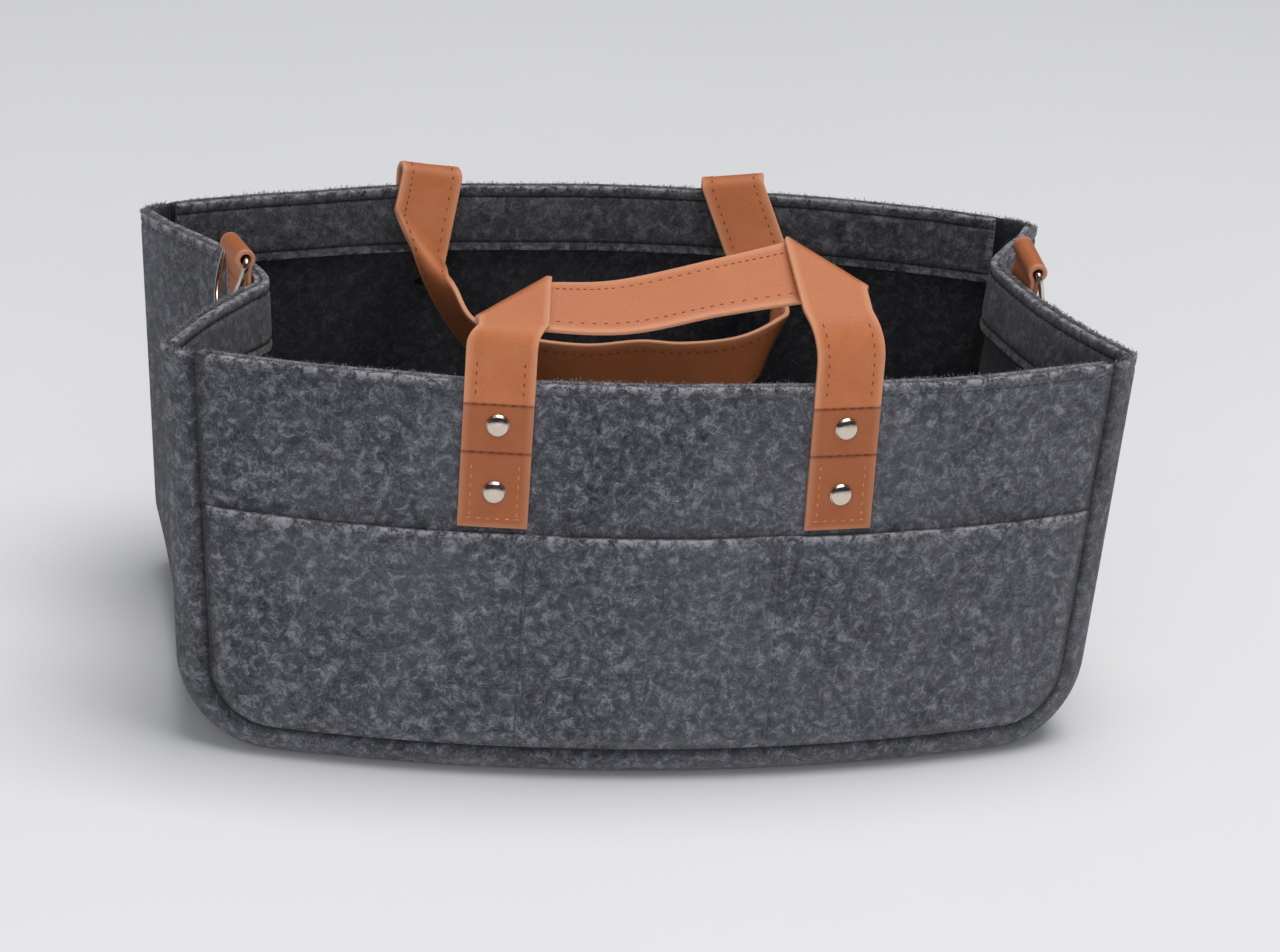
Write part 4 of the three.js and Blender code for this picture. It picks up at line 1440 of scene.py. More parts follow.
class Ribbon:
    """A strap's run of stations, read by distance along its middle."""

    def __init__(self, stations: Sequence[Station]) -> None:
        """Measures the run and works out the normals."""
        self.stations = stations
        middles = [station.middle for station in stations]
        steps = [after - before for before, after in zip(middles, middles[1:])]
        self.places = list(accumulate((step.length for step in steps), initial=0.0))
        ways = [step.normalized() for step in steps]
        self.normals = []
        for index, station in enumerate(stations):
            along = sum(ways[max(index - 1, 0) : index + 1], Vector((0.0, 0.0, 0.0)))
            self.normals.append(along.cross(station.inner - station.outer).normalized())

    @property
    def length(self) -> float:
        """Length of the middle line."""
        return self.places[-1]

    def at(self, place: float, share: float) -> tuple[Vector, Vector]:
        """Point and normal on the strap's middle surface.

        Args:
            place: Distance along the middle.
            share: From 0 at the outer edge to 1 at the inner edge.

        Returns:
            The point and the normal.
        """
        low = min(max(bisect_right(self.places, place) - 1, 0), len(self.places) - 2)
        t = (place - self.places[low]) / max(self.places[low + 1] - self.places[low], 1e-9)
        first, second = self.stations[low], self.stations[low + 1]
        point = mix(mix(first.outer, second.outer, t), mix(first.inner, second.inner, t), share)
        return point, mix(self.normals[low], self.normals[low + 1], t).normalized()


def smooth_band(guides: Sequence[Station], steps: int) -> list[Station]:
    """Stations along smooth curves through the guides, without the first and last guide."""
    outer = [guide.outer for guide in guides]
    inner = [guide.inner for guide in guides]
    shares = between(0, 1, steps)[1:-1]
    return [Station(catmull_rom(outer, share), catmull_rom(inner, share)) for share in shares]


@dataclass
class HandleMaker:
    """Strap making that both handles share.

    Args:
        shape: The bag's shape.
        edge: Radius of the turned edges.
        row_inset: Distance of the stitch rows from the edges.
        pitch: Distance between stitches.
        top_seam: Distance of the dark seam below the rim from the anchor's lower end.
        middle_seam: Distance of the seam between the two rivets from the same end.
        hinge: Heights in metres between which the strap turns with its handle.
    """

    shape: BagShape
    edge: float = 0.95
    row_inset: float = 4.6
    pitch: float = 3.9
    top_seam: float = 51.5
    middle_seam: float = 31.5
    hinge: Pair = (0.1565, 0.1625)

    def station(
        self, middle: Vector, across: Vector, lead: float = 0.0, along: Vector | None = None
    ) -> Station:
        """Station with its inner edge leading along the strap."""
        half = across * (self.shape.strap_width / 2)
        if along is not None:
            half = half + along * (lead / 2)
        return Station(middle - half, middle + half)

    def wall_leg(self, side: Side, hand: Hand, z: float) -> tuple[Vector, Vector]:
        """Middle and direction across of a leg that lies against a long wall."""
        x = self.shape.leg_x(hand)
        tangent = UP.cross(self.shape.wall_normal(side, x))
        across = tangent * (-hand.value * math.copysign(1.0, tangent.x))
        depth = -self.shape.layer_gap - self.shape.strap / 2
        return self.shape.wall_point(side, x, z, depth), across

    def lean_direction(self, side: Side, hand: Hand, leg: LegSizes) -> Vector:
        """Direction of a leg that leaves the wall."""
        angle = math.radians(leg.slope)
        inwards = -side.value * math.cos(angle)
        return Vector((-hand.value * leg.drift, inwards, math.sin(angle))).normalized()

    def upright(self, side: Side, hand: Hand, low: float, high: float) -> list[Station]:
        """Stations of the part that lies against the wall, following its curve."""
        heights = between(low, high, max(2, round((high - low) / 2.5)))
        return [self.station(*self.wall_leg(side, hand, z)) for z in heights]

    def build_strap(
        self, name: str, ribbon: Ribbon, pressed: Sequence[float], material: Material,
        square_start: bool = False, square_end: bool = False, anchors: Pair = (0.0, 0.0),
    ) -> Object:
        """Makes a strap along a ribbon.

        Args:
            name: The piece's name.
            ribbon: Its stations.
            pressed: Places of sewn lines across it.
            material: Its finish.
            square_start: Whether it goes on in another piece at its start.
            square_end: Whether it goes on in another piece at its end.
            anchors: Lengths of the riveted parts at its start and end.

        Returns:
            The object.
        """
        width, strap = self.shape.strap_width, self.shape.strap
        first, last = anchors[0], ribbon.length - anchors[1]

        def anchored(v: float, _: int) -> float:
            """Shade of the riveted parts, which are a little darker."""
            return 1.0 if v < first - 0.1 or v > last + 0.1 else 0.0

        def place(u: float, v: float, lift: float) -> Vector:
            """Point of the strap."""
            point, normal = ribbon.at(v, 0.5 + u / width)
            press = 1 - 0.3 * max([bell(v - line, 0.9) for line in pressed] or [0.0])
            row = width / 2 - self.row_inset
            press *= 1 - 0.16 * max(bell(u - row, 0.9), bell(u + row, 0.9))
            return point + normal * lift * press

        across = spaced(-width / 2, width / 2, 2.4, self.edge)
        down = spaced(0.0, ribbon.length, 1.6, self.edge, pressed)
        square = (square_start, square_end)
        cloth = Cloth(across, down, strap, self.edge, *square, grooves=pressed, shaded=anchored)
        return cloth.build(name, place, material)

    def stitch(
        self, ribbon: Ribbon, at: Pair, ahead: Pair, face: int, height: float,
        size: Pair,
    ) -> Stitch:
        """One stitch on a strap.

        Args:
            ribbon: The strap's ribbon.
            at: Distance along the ribbon and share across it of the thread's middle.
            ahead: The same for a point that the thread runs towards.
            face: 1 or -1 for the face of the strap.
            height: Height of the thread's middle, as a share of half the thickness.
            size: Length and width of the thread.

        Returns:
            The stitch.
        """
        point, normal = ribbon.at(*at)
        towards, _ = ribbon.at(*ahead)
        middle = point + normal * face * (self.shape.strap / 2 * height)
        return Stitch(middle, towards - point, normal * face, *size)

    def rows(self, ribbon: Ribbon, start: float, end: float, faces: Sequence[int]) -> list[Stitch]:
        """Stitches of the two rows along a strap, from start to end, on its faces 1 and -1."""
        inset = self.row_inset / self.shape.strap_width
        return [
            self.stitch(ribbon, (place, share), (place + 0.5, share), face, 0.86, ROW_STITCH)
            for place in along_row(start, end, self.pitch)
            for share in (inset, 1 - inset)
            for face in faces
        ]

    def cross_row(
        self, ribbon: Ribbon, place: float, face: int, height: float = 0.74
    ) -> list[Stitch]:
        """Stitches of a row across the strap, at a share of its half thickness."""
        width = self.shape.strap_width
        free = 2.5
        run = width - 2 * free
        count = int(run / 3.3)
        shares = [(free + (index + 0.5) * run / count) / width for index in range(count)]
        return [
            self.stitch(ribbon, (place, share), (place, share + 0.02), face, height, CROSS_STITCH)
            for share in shares
        ]


@dataclass
class FrontHandle:
    """The front handle, which stands on the wall and lies inwards over the rim.

    Args:
        maker: The strap maker.
        left: Sizes of the left leg.
        right: Sizes of the right leg.
        route: Places of the band: share of the way, drop below the straight line and slope
            of its face in degrees.
    """

    maker: HandleMaker
    left: LegSizes = LegSizes(slope=25, reach=6.8, drift=0.13, rise=20.4, shift=4.1, bend=5)
    right: LegSizes = LegSizes(slope=34, reach=21.9, drift=0.105, rise=21.8, shift=3.5, bend=12)
    route: tuple = ((0.33, 6.4, 29.0), (0.67, 2.7, 34.0))

    def leg(self, hand: Hand, sizes: LegSizes) -> list[Station]:
        """Stations up the wall, round the bend, along the leaning part and round the fold."""
        maker, shape = self.maker, self.maker.shape
        side = Side.FRONT
        top, across = maker.wall_leg(side, hand, shape.anchor_top)
        lean = maker.lean_direction(side, hand, sizes)
        corner = Vector((top.x, top.y, shape.height + sizes.rise))
        level = Vector((-hand.value, 0.0, 0.0))
        stations = maker.upright(side, hand, shape.anchor_bottom, corner.z - sizes.bend - 1)
        for share in between(0, 1, 10):
            before = corner - UP * sizes.bend * (1 - share)
            after = corner + lean * sizes.bend * share + level * sizes.shift * share
            turned = mix(across, level, share).normalized()
            stations.append(maker.station(mix(before, after, share), turned))
        lead = shape.strap_width
        fold_middle = corner + lean * (sizes.reach + lead / 2) + level * sizes.shift
        face = lean.cross(level).normalized()
        face = face * math.copysign(1.0, face.z)
        square = face.cross(lean).normalized()
        fold_across = square * math.copysign(1.0, square.dot(level))
        radius = shape.strap / 2 + shape.layer_gap
        away = (lean - fold_across).normalized()
        for angle in between(0, math.pi, 10):
            place = fold_middle + face * radius * (math.cos(angle) - 1)
            place += away * radius * math.sin(angle)
            stations.append(maker.station(place, fold_across, lead, lean))
        return stations

    def band(self, first: Station, last: Station) -> list[Station]:
        """Stations of the band between the two folds."""
        guides = [first]
        for share, drop, tilt in self.route:
            slope = math.radians(tilt)
            middle = mix(first.middle, last.middle, share) - UP * drop
            across = Vector((0.0, math.cos(slope), math.sin(slope)))
            guides.append(self.maker.station(middle, across))
        return smooth_band([*guides, last], 66)

    def build(self, wardrobe: Wardrobe) -> list[Object]:
        """Makes the strap and its stitching.

        Args:
            wardrobe: The finishes.

        Returns:
            The pieces.
        """
        maker = self.maker
        left, right = self.leg(Hand.LEFT, self.left), self.leg(Hand.RIGHT, self.right)
        ribbon = Ribbon([*left, *self.band(left[-1], right[-1]), *reversed(right)])
        total, top, seam = ribbon.length, maker.top_seam, maker.middle_seam
        left_end, right_end = Ribbon(left).length, Ribbon(right).length
        pressed = [seam, top, total - top, total - seam]
        strap = maker.build_strap(
            "front_handle_leather", ribbon, pressed, wardrobe.leather, anchors=(top, top)
        )
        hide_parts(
            "front_handle_strap", "front_handle_anchor_left", "front_handle_anchor_right"
        )
        both, outside = (1, -1), (-1,)
        rows = maker.rows(ribbon, left_end + 4, total - right_end - 4, both)
        rows += maker.rows(ribbon, top + 3, left_end - 34, both)
        rows += maker.rows(ribbon, total - right_end + 34, total - top - 3, both)
        boxes = maker.rows(ribbon, 4, seam - 3, outside)
        boxes += maker.rows(ribbon, total - seam + 3, total - 4, outside)
        for place in pressed:
            rows += maker.cross_row(ribbon, place, -1)
        for place in (4.0, total - 4.0):
            boxes += maker.cross_row(ribbon, place, -1, 0.92)
        stitching = sewn("front_handle_stitching", rows, wardrobe.strap_thread)
        box_stitching = sewn("front_anchor_stitching", boxes, wardrobe.tonal_thread)
        low, high = maker.hinge
        for piece in (strap, stitching, box_stitching):
            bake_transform(piece, "bag", "front_handle", start=(0, 0, low), end=(0, 0, high))
        return [strap, stitching, box_stitching]


@dataclass
class BackHandle:
    """The back handle, which goes over the rim and hangs down inside the bag.

    Args:
        maker: The strap maker.
        left: Sizes of the left leg.
        right: Sizes of the right leg.
        setback: Greatest distance of the band from the middle of the back wall.
        drop: Greatest drop of the band below the rim.
        route: Places of the band: shares of the handle spacing, the setback and the drop,
            and the direction across the strap.
        arch_clearance: Room between the strap and the rim.
        joint: Height where the legs go on in the loop.
    """

    maker: HandleMaker
    left: LegSizes = LegSizes(slope=-60, reach=18, drift=-0.218, lead=22.3, lift=3.9, tilt=9.4)
    right: LegSizes = LegSizes(slope=-58, reach=33.3, drift=-0.318, lead=1, lift=1.5, tilt=9.8)
    setback: float = 95.0
    drop: float = 59.0
    route: tuple = (
        (-0.475, 0.584, 0.585, (0.27, -0.88, 0.4)),
        (-0.41, 0.742, 0.788, (0.05, -0.78, 0.63)),
        (-0.288, 0.889, 0.932, (-0.1, -0.35, 0.93)),
        (-0.058, 0.984, 0.995, (0.0, -0.06, 1.0)),
        (0.122, 1.0, 0.949, (0.0, -0.06, 1.0)),
        (0.252, 0.995, 0.966, (0.0, -0.06, 1.0)),
        (0.432, 0.968, 0.932, (0.1, 0.05, 0.99)),
        (0.54, 0.889, 0.831, (0.3, 0.1, 0.95)),
        (0.58, 0.711, 0.814, (0.44, 0.1, 0.89)),
        (0.59, 0.5, 0.525, (-0.5, 0.2, 0.84)),
    )
    arch_clearance: float = 0.8
    joint: float = 165.5

    def leg(self, hand: Hand, sizes: LegSizes) -> list[Station]:
        """Stations from the joint with the upright leg, over the rim and down to the crease."""
        maker, shape = self.maker, self.maker.shape
        side = Side.BACK
        middle, across = maker.wall_leg(side, hand, self.joint)
        inward = -shape.wall_normal(side, shape.leg_x(hand))
        radius = (shape.facing_far + shape.layer_gap + shape.strap + self.arch_clearance) / 2
        centre = Vector((middle.x, middle.y, shape.height + sizes.lift)) + inward * radius
        end = math.pi / 2 - math.radians(sizes.slope)
        tilted = (across - UP * math.tan(math.radians(sizes.tilt))).normalized()

        def arch(angle: float) -> Vector:
            """Point on the arch over the rim."""
            return centre - inward * radius * math.cos(angle) + UP * radius * math.sin(angle)

        stations = [maker.station(middle, across)]
        for angle in between(0, end, 14):
            turned = mix(across, tilted, min(2 * angle / math.pi, 1.0)).normalized()
            stations.append(maker.station(arch(angle), turned))
        lean = maker.lean_direction(side, hand, sizes)
        crease = arch(end) + lean * (sizes.reach + abs(sizes.lead) / 2)
        stations.append(maker.station(crease, tilted, sizes.lead, lean))
        return stations

    def loop(self) -> Ribbon:
        """The part from the joint of one leg to the joint of the other."""
        shape = self.maker.shape
        left, right = self.leg(Hand.LEFT, self.left), self.leg(Hand.RIGHT, self.right)
        guides = [left[-1]]
        for along, setback, drop, across in self.route:
            middle = Vector((
                along * shape.handle_spacing,
                shape.wall_y(Side.BACK, 0.0) - setback * self.setback,
                shape.height - drop * self.drop,
            ))
            guides.append(self.maker.station(middle, Vector(across).normalized()))
        band = smooth_band([*guides, right[-1]], 84)
        return Ribbon([*left, *band, *reversed(right)])

    def build_leg(self, hand: Hand, wardrobe: Wardrobe) -> list[Object]:
        """Makes the riveted part of one leg with its stitching, which turns at the hinge."""
        maker, shape = self.maker, self.maker.shape
        ribbon = Ribbon(maker.upright(Side.BACK, hand, shape.anchor_bottom, self.joint))
        seams = [maker.middle_seam, maker.top_seam]
        name = f"back_handle_leg_{hand.label}"
        strap = maker.build_strap(
            name, ribbon, seams, wardrobe.leather, square_end=True, anchors=(maker.top_seam, 0.0)
        )
        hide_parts(f"back_handle_anchor_{hand.label}")
        _, normal = ribbon.at(20.0, 0.5)
        face = 1 if normal.y > 0 else -1
        rows = maker.rows(ribbon, 4, maker.top_seam - 2, (face,))
        for place in (3.0, *seams):
            rows += maker.cross_row(ribbon, place, face)
        stitching = sewn(f"{name}_stitching", rows, wardrobe.strap_thread)
        low, high = maker.hinge
        for piece in (strap, stitching):
            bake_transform(piece, "bag", "back_handle", start=(0, 0, low), end=(0, 0, high))
        return [strap, stitching]

    def build(self, wardrobe: Wardrobe) -> list[Object]:
        """Makes the loop, both legs and the stitching.

        Args:
            wardrobe: The finishes.

        Returns:
            The pieces.
        """
        ribbon = self.loop()
        loop = self.maker.build_strap(
            "back_handle_loop", ribbon, [], wardrobe.leather, square_start=True, square_end=True
        )
        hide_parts("back_handle_strap")
        rows = self.maker.rows(ribbon, 2, ribbon.length - 2, (1, -1))
        stitching = sewn("back_handle_stitching", rows, wardrobe.strap_thread)
        for piece in (loop, stitching):
            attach(piece, "back_handle")
        legs = [piece for hand in Hand for piece in self.build_leg(hand, wardrobe)]
        return [loop, stitching, *legs]


# Rivets


@dataclass
class Rivets:
    """Domed rivet caps outside the walls and flat closing caps inside.

    Args:
        shape: The bag's shape.
        upper_inset: Distance of the upper rivets from the anchor's top.
        lower_inset: Distance of the lower rivets from its lower end.
        cap_radius: Radius of the caps.
        rim: Thickness of the caps' flat rim.
        dome: Height of the outer dome.
        inner_dome: Height of the closing cap's dome.
        post_radius: Radius of the post.
        steps: Steps in a full turn.
    """

    shape: BagShape
    upper_inset: float = 7.0
    lower_inset: float = 15.0
    cap_radius: float = 4.8
    rim: float = 0.5
    dome: float = 1.7
    inner_dome: float = 1.0
    post_radius: float = 1.5
    steps: int = 40

    def cap_profile(self, dome: float) -> list[Pair]:
        """Profile of a domed cap with a thin flange, from its flat face to its pole."""
        turned_edge = ((0.15, 0.0), (0.0, 0.12), (0.05, 0.28), (0.2, 0.38))
        flange = [(self.cap_radius - inset, height) for inset, height in turned_edge]
        inner = self.cap_radius - 0.4
        curve = [
            (inner * math.cos(angle), self.rim + (dome - 0.05) * math.sin(angle))
            for angle in between(0.12, math.pi / 2, 9)[:-1]
        ]
        return [*flange, *curve, (0.0, self.rim + dome - 0.05)]

    def build_one(self, side: Side, hand: Hand, level: Level, wardrobe: Wardrobe) -> list[Object]:
        """Makes one rivet: its outer cap with the post, and its closing cap.

        Args:
            side: The wall.
            hand: The leg.
            level: Which rivet of the leg.
            wardrobe: The finishes.

        Returns:
            The two pieces.
        """
        shape = self.shape
        x = shape.leg_x(hand)
        upper = level is Level.UPPER
        z = shape.anchor_top - self.upper_inset if upper else shape.anchor_bottom + self.lower_inset
        inner_depth = shape.facing_far if upper else shape.felt
        cap_depth = -shape.layer_gap - shape.strap - shape.layer_gap
        normal = shape.wall_normal(side, x)
        place = f"{side.label}_{hand.label}_{level.label}"
        end = cap_depth - inner_depth
        post = [(0.0, end), (self.post_radius, end), (self.post_radius, 0.0)]
        outer = [*post, *self.cap_profile(self.dome)]
        seat = shape.wall_point(side, x, z, cap_depth)
        cap = lathe(f"rivet_cap_{place}", outer, seat, normal, self.steps, wardrobe.nickel)
        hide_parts(f"rivet_{place}")
        inner = [(0.0, 0.0), *self.cap_profile(self.inner_dome)]
        seat = shape.wall_point(side, x, z, inner_depth + shape.layer_gap)
        metal = wardrobe.darker_nickel
        closing = lathe(f"rivet_closing_{place}", inner, seat, -normal, self.steps, metal)
        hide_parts(f"rivet_inner_{place}")
        return [cap, closing]

    def build(self, wardrobe: Wardrobe) -> list[Object]:
        """Makes all the rivets."""
        pieces = []
        for side, hand, level in product(Side, Hand, Level):
            pieces += self.build_one(side, hand, level, wardrobe)
        for piece in pieces:
            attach(piece, "bag")
        return pieces


# Hanging rings


@dataclass
class HangingRing:
    """A D-ring in the roll of a doubled leather tab on a folded end.

    Args:
        shape: The bag's shape.
        hand: The end.
        along: Place along the end, as a share from the front corner to the back corner.
        swing: How far the ring stands away from its tab, in degrees.
        tilt: How far the tab is tilted along the wall, in degrees.
        width: Width of the tab.
        thickness: Thickness of the doubled tab.
        edge: Radius of the tab's edges.
        drop: Length of the tab below the rim.
        roll_rise: Height of the roll's middle above the rim.
        roll_wall: Thickness of the leather round the roll.
        wire: Thickness of the ring's wire.
        bore_clearance: Room between the wire and the roll.
        side_clearance: Room between the tab's sides and the wire.
        ring_depth: Depth of the ring below its bar.
        ring_corner: Radius of the ring's corners.
        box_inset: Distance of the stitches from the tab's edges.
    """

    shape: BagShape
    hand: Hand
    along: float
    swing: float
    tilt: float
    width: float = 26.0
    thickness: float = 4.0
    edge: float = 0.55
    drop: float = 34.0
    roll_rise: float = 9.0
    roll_wall: float = 2.2
    wire: float = 2.6
    bore_clearance: float = 0.9
    side_clearance: float = 1.0
    ring_depth: float = 26.0
    ring_corner: float = 3.0
    box_inset: float = 3.2

    @property
    def ply(self) -> float:
        """Thickness of each layer of the doubled tab."""
        return self.thickness / 2 - 0.1

    def wall_run(self) -> list[Vector]:
        """Outer face of the end at the rim in plan, over the breadth of the tilted tab."""
        shape = self.shape
        place = shape.end_place(self.hand, shape.height)
        points = []
        for share in between(0, 1, 16):
            depth, y = shape.section(place, self.hand, shape.corner_run + share * shape.end_span)
            points.append(Vector((place[0] + place[2] * depth, y, 0.0)))
        middle = mix(points[0].y, points[-1].y, self.along)
        half = self.width / 2 + self.drop * math.sin(math.radians(self.tilt))
        front, back = middle - half, middle + half

        def at(y: float) -> Vector:
            """Point of the run at y."""
            index = next(i for i, point in enumerate(points) if point.y >= y)
            low, high = points[index - 1], points[index]
            return mix(low, high, (y - low.y) / (high.y - low.y))

        return [at(front), *(point for point in points if front < point.y < back), at(back)]

    def holder(self) -> Matrix:
        """Frame of the tab: x along the wall, y up its lean, with its origin at the rim."""
        shape, sign = self.shape, self.hand.value
        run = self.wall_run()
        chord = (run[-1] - run[0]).normalized()
        outward = Vector((chord.y, -chord.x, 0.0)) * sign
        swell = max((point - run[0]).dot(outward) for point in run)
        stand_off = swell + shape.layer_gap + self.thickness / 2
        middle = (run[0] + run[-1]) / 2 + outward * stand_off
        basis = Matrix((chord, UP, Vector((chord.y, -chord.x, 0.0)))).transposed().to_4x4()
        lean = Matrix.Rotation(sign * shape.lean, 4, "X")
        tilt = Matrix.Rotation(math.radians(self.tilt), 4, "Z")
        return Matrix.Translation((middle.x, middle.y, shape.height)) @ basis @ (lean @ tilt)

    def tab_path(self) -> list[Vector]:
        """Side view of the leather: up the outer layer, round the roll and down the inner one."""
        apart = self.thickness / 4 + 0.05
        radius = self.wire / 2 + self.bore_clearance + self.roll_wall / 2
        start = math.asin(apart / radius) + 0.35
        neck = self.roll_rise - radius - 1.6
        up = [Vector((0.0, y, apart)) for y in between(-self.drop, neck, 20)]
        roll = [
            Vector((0.0, self.roll_rise - radius * math.cos(angle), radius * math.sin(angle)))
            for angle in between(start, math.tau - start, 28)
        ]
        down = [Vector((0.0, y, -apart)) for y in between(neck, -self.drop, 20)]
        return [*up, *roll, *down]

    def build_tab(self, material: Material) -> Object:
        """Makes the doubled tab with its rolled end."""
        holder = self.holder()
        across = holder.to_3x3() @ Vector((1.0, 0.0, 0.0))
        half = across * (self.width / 2)
        path = [holder @ point for point in self.tab_path()]
        ribbon = Ribbon([Station(point - half, point + half) for point in path])

        def place(u: float, v: float, lift: float) -> Vector:
            """Point of the leather."""
            point, normal = ribbon.at(v, 0.5 + u / self.width)
            return point + normal * lift

        cuts = spaced(-self.width / 2, self.width / 2, 2.4, self.edge)
        down = spaced(0.0, ribbon.length, 1.1, self.edge)
        cloth = Cloth(cuts, down, self.ply, self.edge, shaded=lambda _down, _facing: 0.4)
        tab = cloth.build(f"{self.hand.label}_tab_leather", place, material)
        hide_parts(f"ring_tab_{self.hand.label}")
        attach(tab, "bag")
        return tab

    def build_stitching(self, material: Material) -> Object:
        """Makes the box of stitches that holds the tab to the end."""
        holder = self.holder()
        turn = holder.to_3x3()
        normal = turn @ Vector((0.0, 0.0, self.hand.value))
        face = self.hand.value * self.ply
        half, top, low = self.width / 2 - self.box_inset, -2.0, -self.drop + self.box_inset
        corners = [(-half, top), (-half, low), (half, low), (half, top), (-half, top)]
        stitches = []
        for (x0, y0), (x1, y1) in zip(corners, corners[1:]):
            count = round(math.hypot(x1 - x0, y1 - y0) / 3.2)
            for index in range(count):
                t = (index + 0.5) / count
                middle = holder @ Vector((mix(x0, x1, t), mix(y0, y1, t), face))
                along = turn @ Vector((x1 - x0, y1 - y0, 0.0))
                stitches.append(Stitch(middle, along, normal, *CROSS_STITCH))
        stitching = sewn(f"{self.hand.label}_tab_stitching", stitches, material)
        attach(stitching, "bag")
        return stitching

    def ring_points(self) -> list[Vector]:
        """Centre line of the ring: a straight bar with a bow that hangs below it."""
        half = self.width / 2 + self.side_clearance + self.wire / 2
        corner = self.ring_corner
        straight, deep = half - corner, self.ring_depth - corner
        bar = [Vector((x, 0.0, 0.0)) for x in between(-straight, straight, 8)]
        right = [
            Vector((straight + corner * math.sin(a), -corner * (1 - math.cos(a)), 0.0))
            for a in between(0, math.pi / 2, 6)[1:]
        ]
        bow = [
            Vector((half * math.cos(a), -corner - deep * math.sin(a), 0.0))
            for a in between(0, math.pi, 36)[1:-1]
        ]
        left = [Vector((-point.x, point.y, 0.0)) for point in reversed(right)]
        return [*bar, *right, *bow, *left]

    def build_ring(self, material: Material) -> Object:
        """Makes the wire ring: a circle carried round the centre line."""
        sign = self.hand.value
        place = self.holder() @ Matrix.Translation((0.0, self.roll_rise, 0.0))
        place = place @ Matrix.Rotation(-sign * math.radians(self.swing), 4, "X")
        points = self.ring_points()
        sides = 16
        bm = bmesh.new()
        loops = []
        for index, point in enumerate(points):
            tangent = (points[(index + 1) % len(points)] - points[index - 1]).normalized()
            turn = Matrix((tangent.cross(UP), UP, tangent)).transposed().to_4x4()
            made = bmesh.ops.create_circle(
                bm, segments=sides, radius=self.wire / 2, matrix=Matrix.Translation(point) @ turn
            )["verts"]
            loops.append([edge for edge in bm.edges if all(vert in made for vert in edge.verts)])
        for first, second in zip(loops, [*loops[1:], loops[0]]):
            bmesh.ops.bridge_loops(bm, edges=first + second)
        bmesh.ops.transform(bm, matrix=place, verts=bm.verts)
        for vert in bm.verts:
            vert.co = to_frame(vert.co)
        bmesh.ops.recalc_face_normals(bm, faces=bm.faces)
        ring = finished(f"{self.hand.label}_wire_ring", bm, material)
        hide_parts(f"ring_{self.hand.label}")
        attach(ring, f"{self.hand.label}_ring")
        return ring

    def build(self, wardrobe: Wardrobe) -> list[Object]:
        """Makes the tab, its stitching and the ring."""
        return [
            self.build_tab(wardrobe.leather),
            self.build_stitching(wardrobe.strap_thread),
            self.build_ring(wardrobe.nickel),
        ]


# Studio


@dataclass(frozen=True)
class Lamp:
    """A soft square lamp that points at the bag.

    Args:
        name: The lamp's name.
        place: Where it stands, in metres.
        size: Its side, in metres.
        power: Its power, in watts.
        colour: Its colour.
        mirrored: Whether bright metal mirrors it.
    """

    name: str
    place: tuple[float, float, float]
    size: float
    power: float
    colour: tuple[float, float, float]
    mirrored: bool = True

    def build(self) -> None:
        """Adds the lamp to the scene."""
        data = bpy.data.lights.new(self.name, "AREA")
        data.size, data.energy, data.color = self.size, self.power, self.colour
        lamp = bpy.data.objects.new(self.name, data)
        lamp.location = self.place
        lamp.visible_glossy = self.mirrored
        away = Vector((0.0, 0.0, 0.1)) - Vector(self.place)
        lamp.rotation_euler = away.to_track_quat("-Z", "Y").to_euler()
        bpy.context.scene.collection.objects.link(lamp)


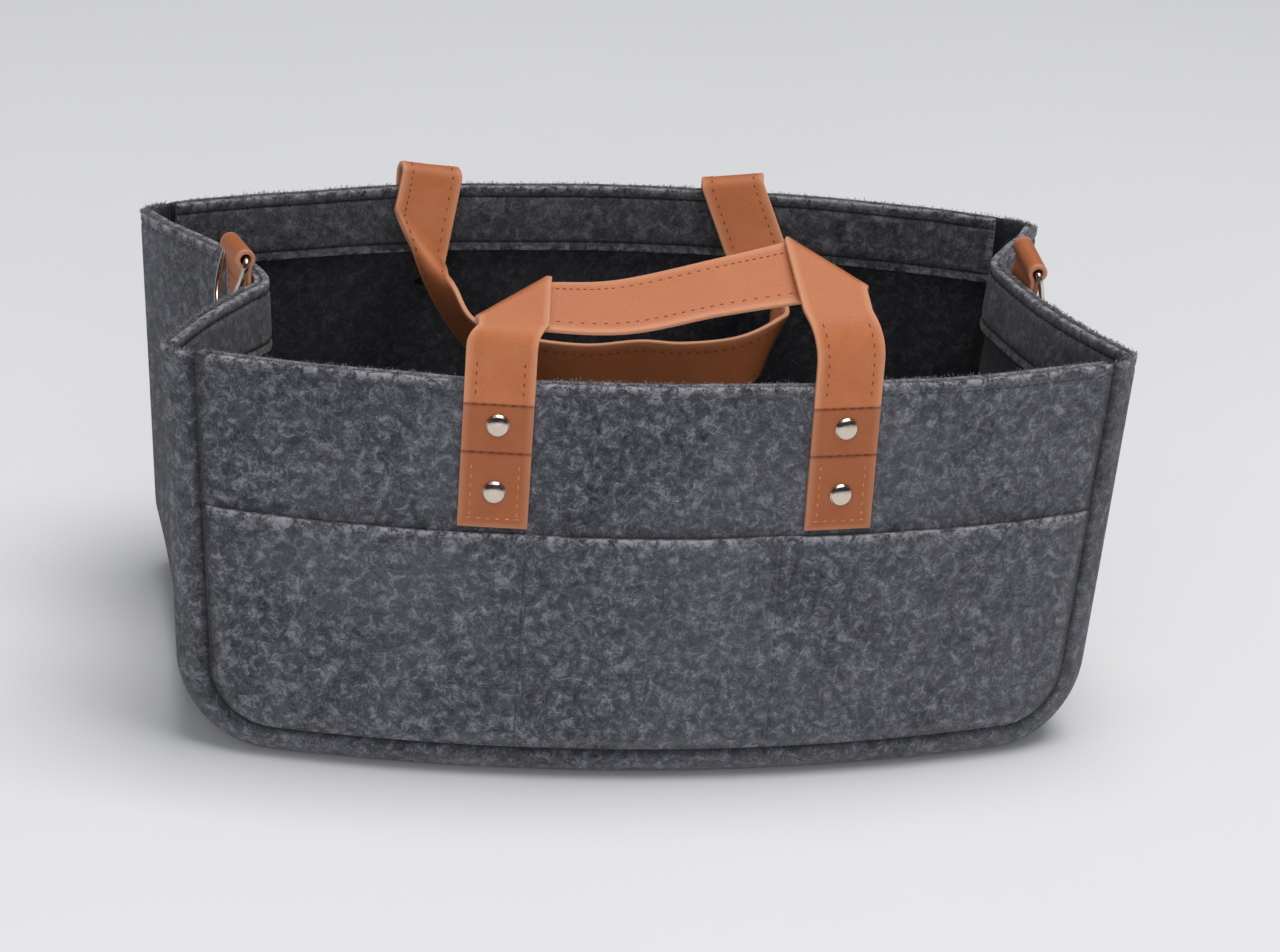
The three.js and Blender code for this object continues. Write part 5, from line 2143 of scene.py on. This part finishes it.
@dataclass
class Studio:
    """Pale floor, soft lamps and the camera.

    Args:
        floor_size: Half size of the floor, in metres.
        floor_drop: How far the floor lies below the bag's base, in metres.
        lens: Focal length of the camera on a 36 mm wide sensor.
        azimuth: Direction from which the camera looks, from the front, in degrees.
        elevation: Its angle above level, in degrees.
        roll: Its turn about its own line of sight, in degrees.
        camera_place: Where it stands, in metres.
        lamps: The lamps.
    """

    floor_size: float = 8.0
    floor_drop: float = 0.0004
    lens: float = 120.72
    azimuth: float = -10.166
    elevation: float = 20.353
    roll: float = 4.007
    camera_place: tuple[float, float, float] = (-0.29312, -1.70475, 0.72136)
    lamps: tuple[Lamp, ...] = (
        Lamp("top_lamp", (0.5, -0.2, 3.2), 2.2, 78.0, (1.0, 0.97, 0.94)),
        Lamp("front_lamp", (-0.6, -2.9, 0.7), 1.8, 38.0, (1.0, 0.985, 0.985), mirrored=False),
    )

    def build_floor(self) -> None:
        """Makes the floor."""
        bm = bmesh.new()
        bmesh.ops.create_grid(bm, x_segments=2, y_segments=2, size=self.floor_size)
        bmesh.ops.translate(bm, vec=(0.0, 0.0, -self.floor_drop), verts=bm.verts)
        finish = FloorFinish("pale_floor", srgb(242, 243, 245), srgb(237, 238, 240))
        floor = finished("floor", bm, finish.material())

    def build_world(self) -> None:
        """Makes the pale surroundings, in which bright metal mirrors a dark band."""
        world = bpy.data.worlds.new("pale_room")
        bpy.context.scene.world = world
        world.use_nodes = True
        nodes = Nodes(world.node_tree)
        rays = nodes.add("ShaderNodeLightPath").outputs
        towards = nodes.add("ShaderNodeTexCoord").outputs["Generated"]
        height = nodes.add("ShaderNodeSeparateXYZ", {0: towards}).outputs[2]
        band = nodes.math("MULTIPLY", nodes.span(height, 0.0, 0.12), nodes.span(height, 0.9, 0.74))
        mirrored = nodes.math("MULTIPLY", band, rays["Is Glossy Ray"])
        shown = nodes.blend(mirrored, (0.80, 0.82, 0.85, 1.0), (0.04, 0.04, 0.05, 1.0))
        cool = (0.80, 0.85, 0.95, 1.0)
        dim = nodes.add("ShaderNodeBackground", {"Color": cool, "Strength": 0.26})
        pale = nodes.add("ShaderNodeBackground", {"Color": shown, "Strength": 0.9})
        seen = nodes.math("MAXIMUM", rays["Is Camera Ray"], rays["Is Glossy Ray"])
        both = nodes.add("ShaderNodeMixShader", {0: seen, 1: dim.outputs[0], 2: pale.outputs[0]})
        nodes.add("ShaderNodeOutputWorld", {0: both.outputs[0]})

    def build_camera(self) -> None:
        """Adds the camera and makes it the scene's own."""
        az, el, roll = (math.radians(value) for value in (self.azimuth, self.elevation, self.roll))
        back = Vector((math.sin(az) * math.cos(el), -math.cos(az) * math.cos(el), math.sin(el)))
        right = (-back).cross(UP).normalized()
        up = right.cross(-back)
        x_axis = right * math.cos(roll) + up * math.sin(roll)
        y_axis = up * math.cos(roll) - right * math.sin(roll)
        data = bpy.data.cameras.new("camera")
        data.lens, data.sensor_width = self.lens, 36.0
        data.clip_start, data.clip_end = 0.05, 60.0
        camera = bpy.data.objects.new("camera", data)
        turn = Matrix((x_axis, y_axis, back)).transposed().to_4x4()
        camera.matrix_world = Matrix.Translation(self.camera_place) @ turn
        bpy.context.scene.collection.objects.link(camera)
        bpy.context.scene.camera = camera

    def build(self) -> None:
        """Sets up the whole studio."""
        self.build_floor()
        self.build_world()
        for lamp in self.lamps:
            lamp.build()
        self.build_camera()
        bpy.context.scene.view_settings.view_transform = "Standard"


def main() -> None:
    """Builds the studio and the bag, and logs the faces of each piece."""
    logging.basicConfig(level=logging.INFO, format="%(message)s")
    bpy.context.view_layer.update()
    shape = BagShape()
    wardrobe = Wardrobe()
    maker = HandleMaker(shape)
    Studio().build()
    assemblies = [
        FeltBody(shape),
        FrontHandle(maker),
        BackHandle(maker),
        Rivets(shape),
        HangingRing(shape, Hand.LEFT, along=0.535, swing=20.0, tilt=0.0),
        HangingRing(shape, Hand.RIGHT, along=0.58, swing=20.0, tilt=12.0),
    ]
    for assembly in assemblies:
        for piece in assembly.build(wardrobe):
            log.info("%s: %s faces", piece.name, len(piece.data.polygons))


if __name__ == "__main__":
    main()
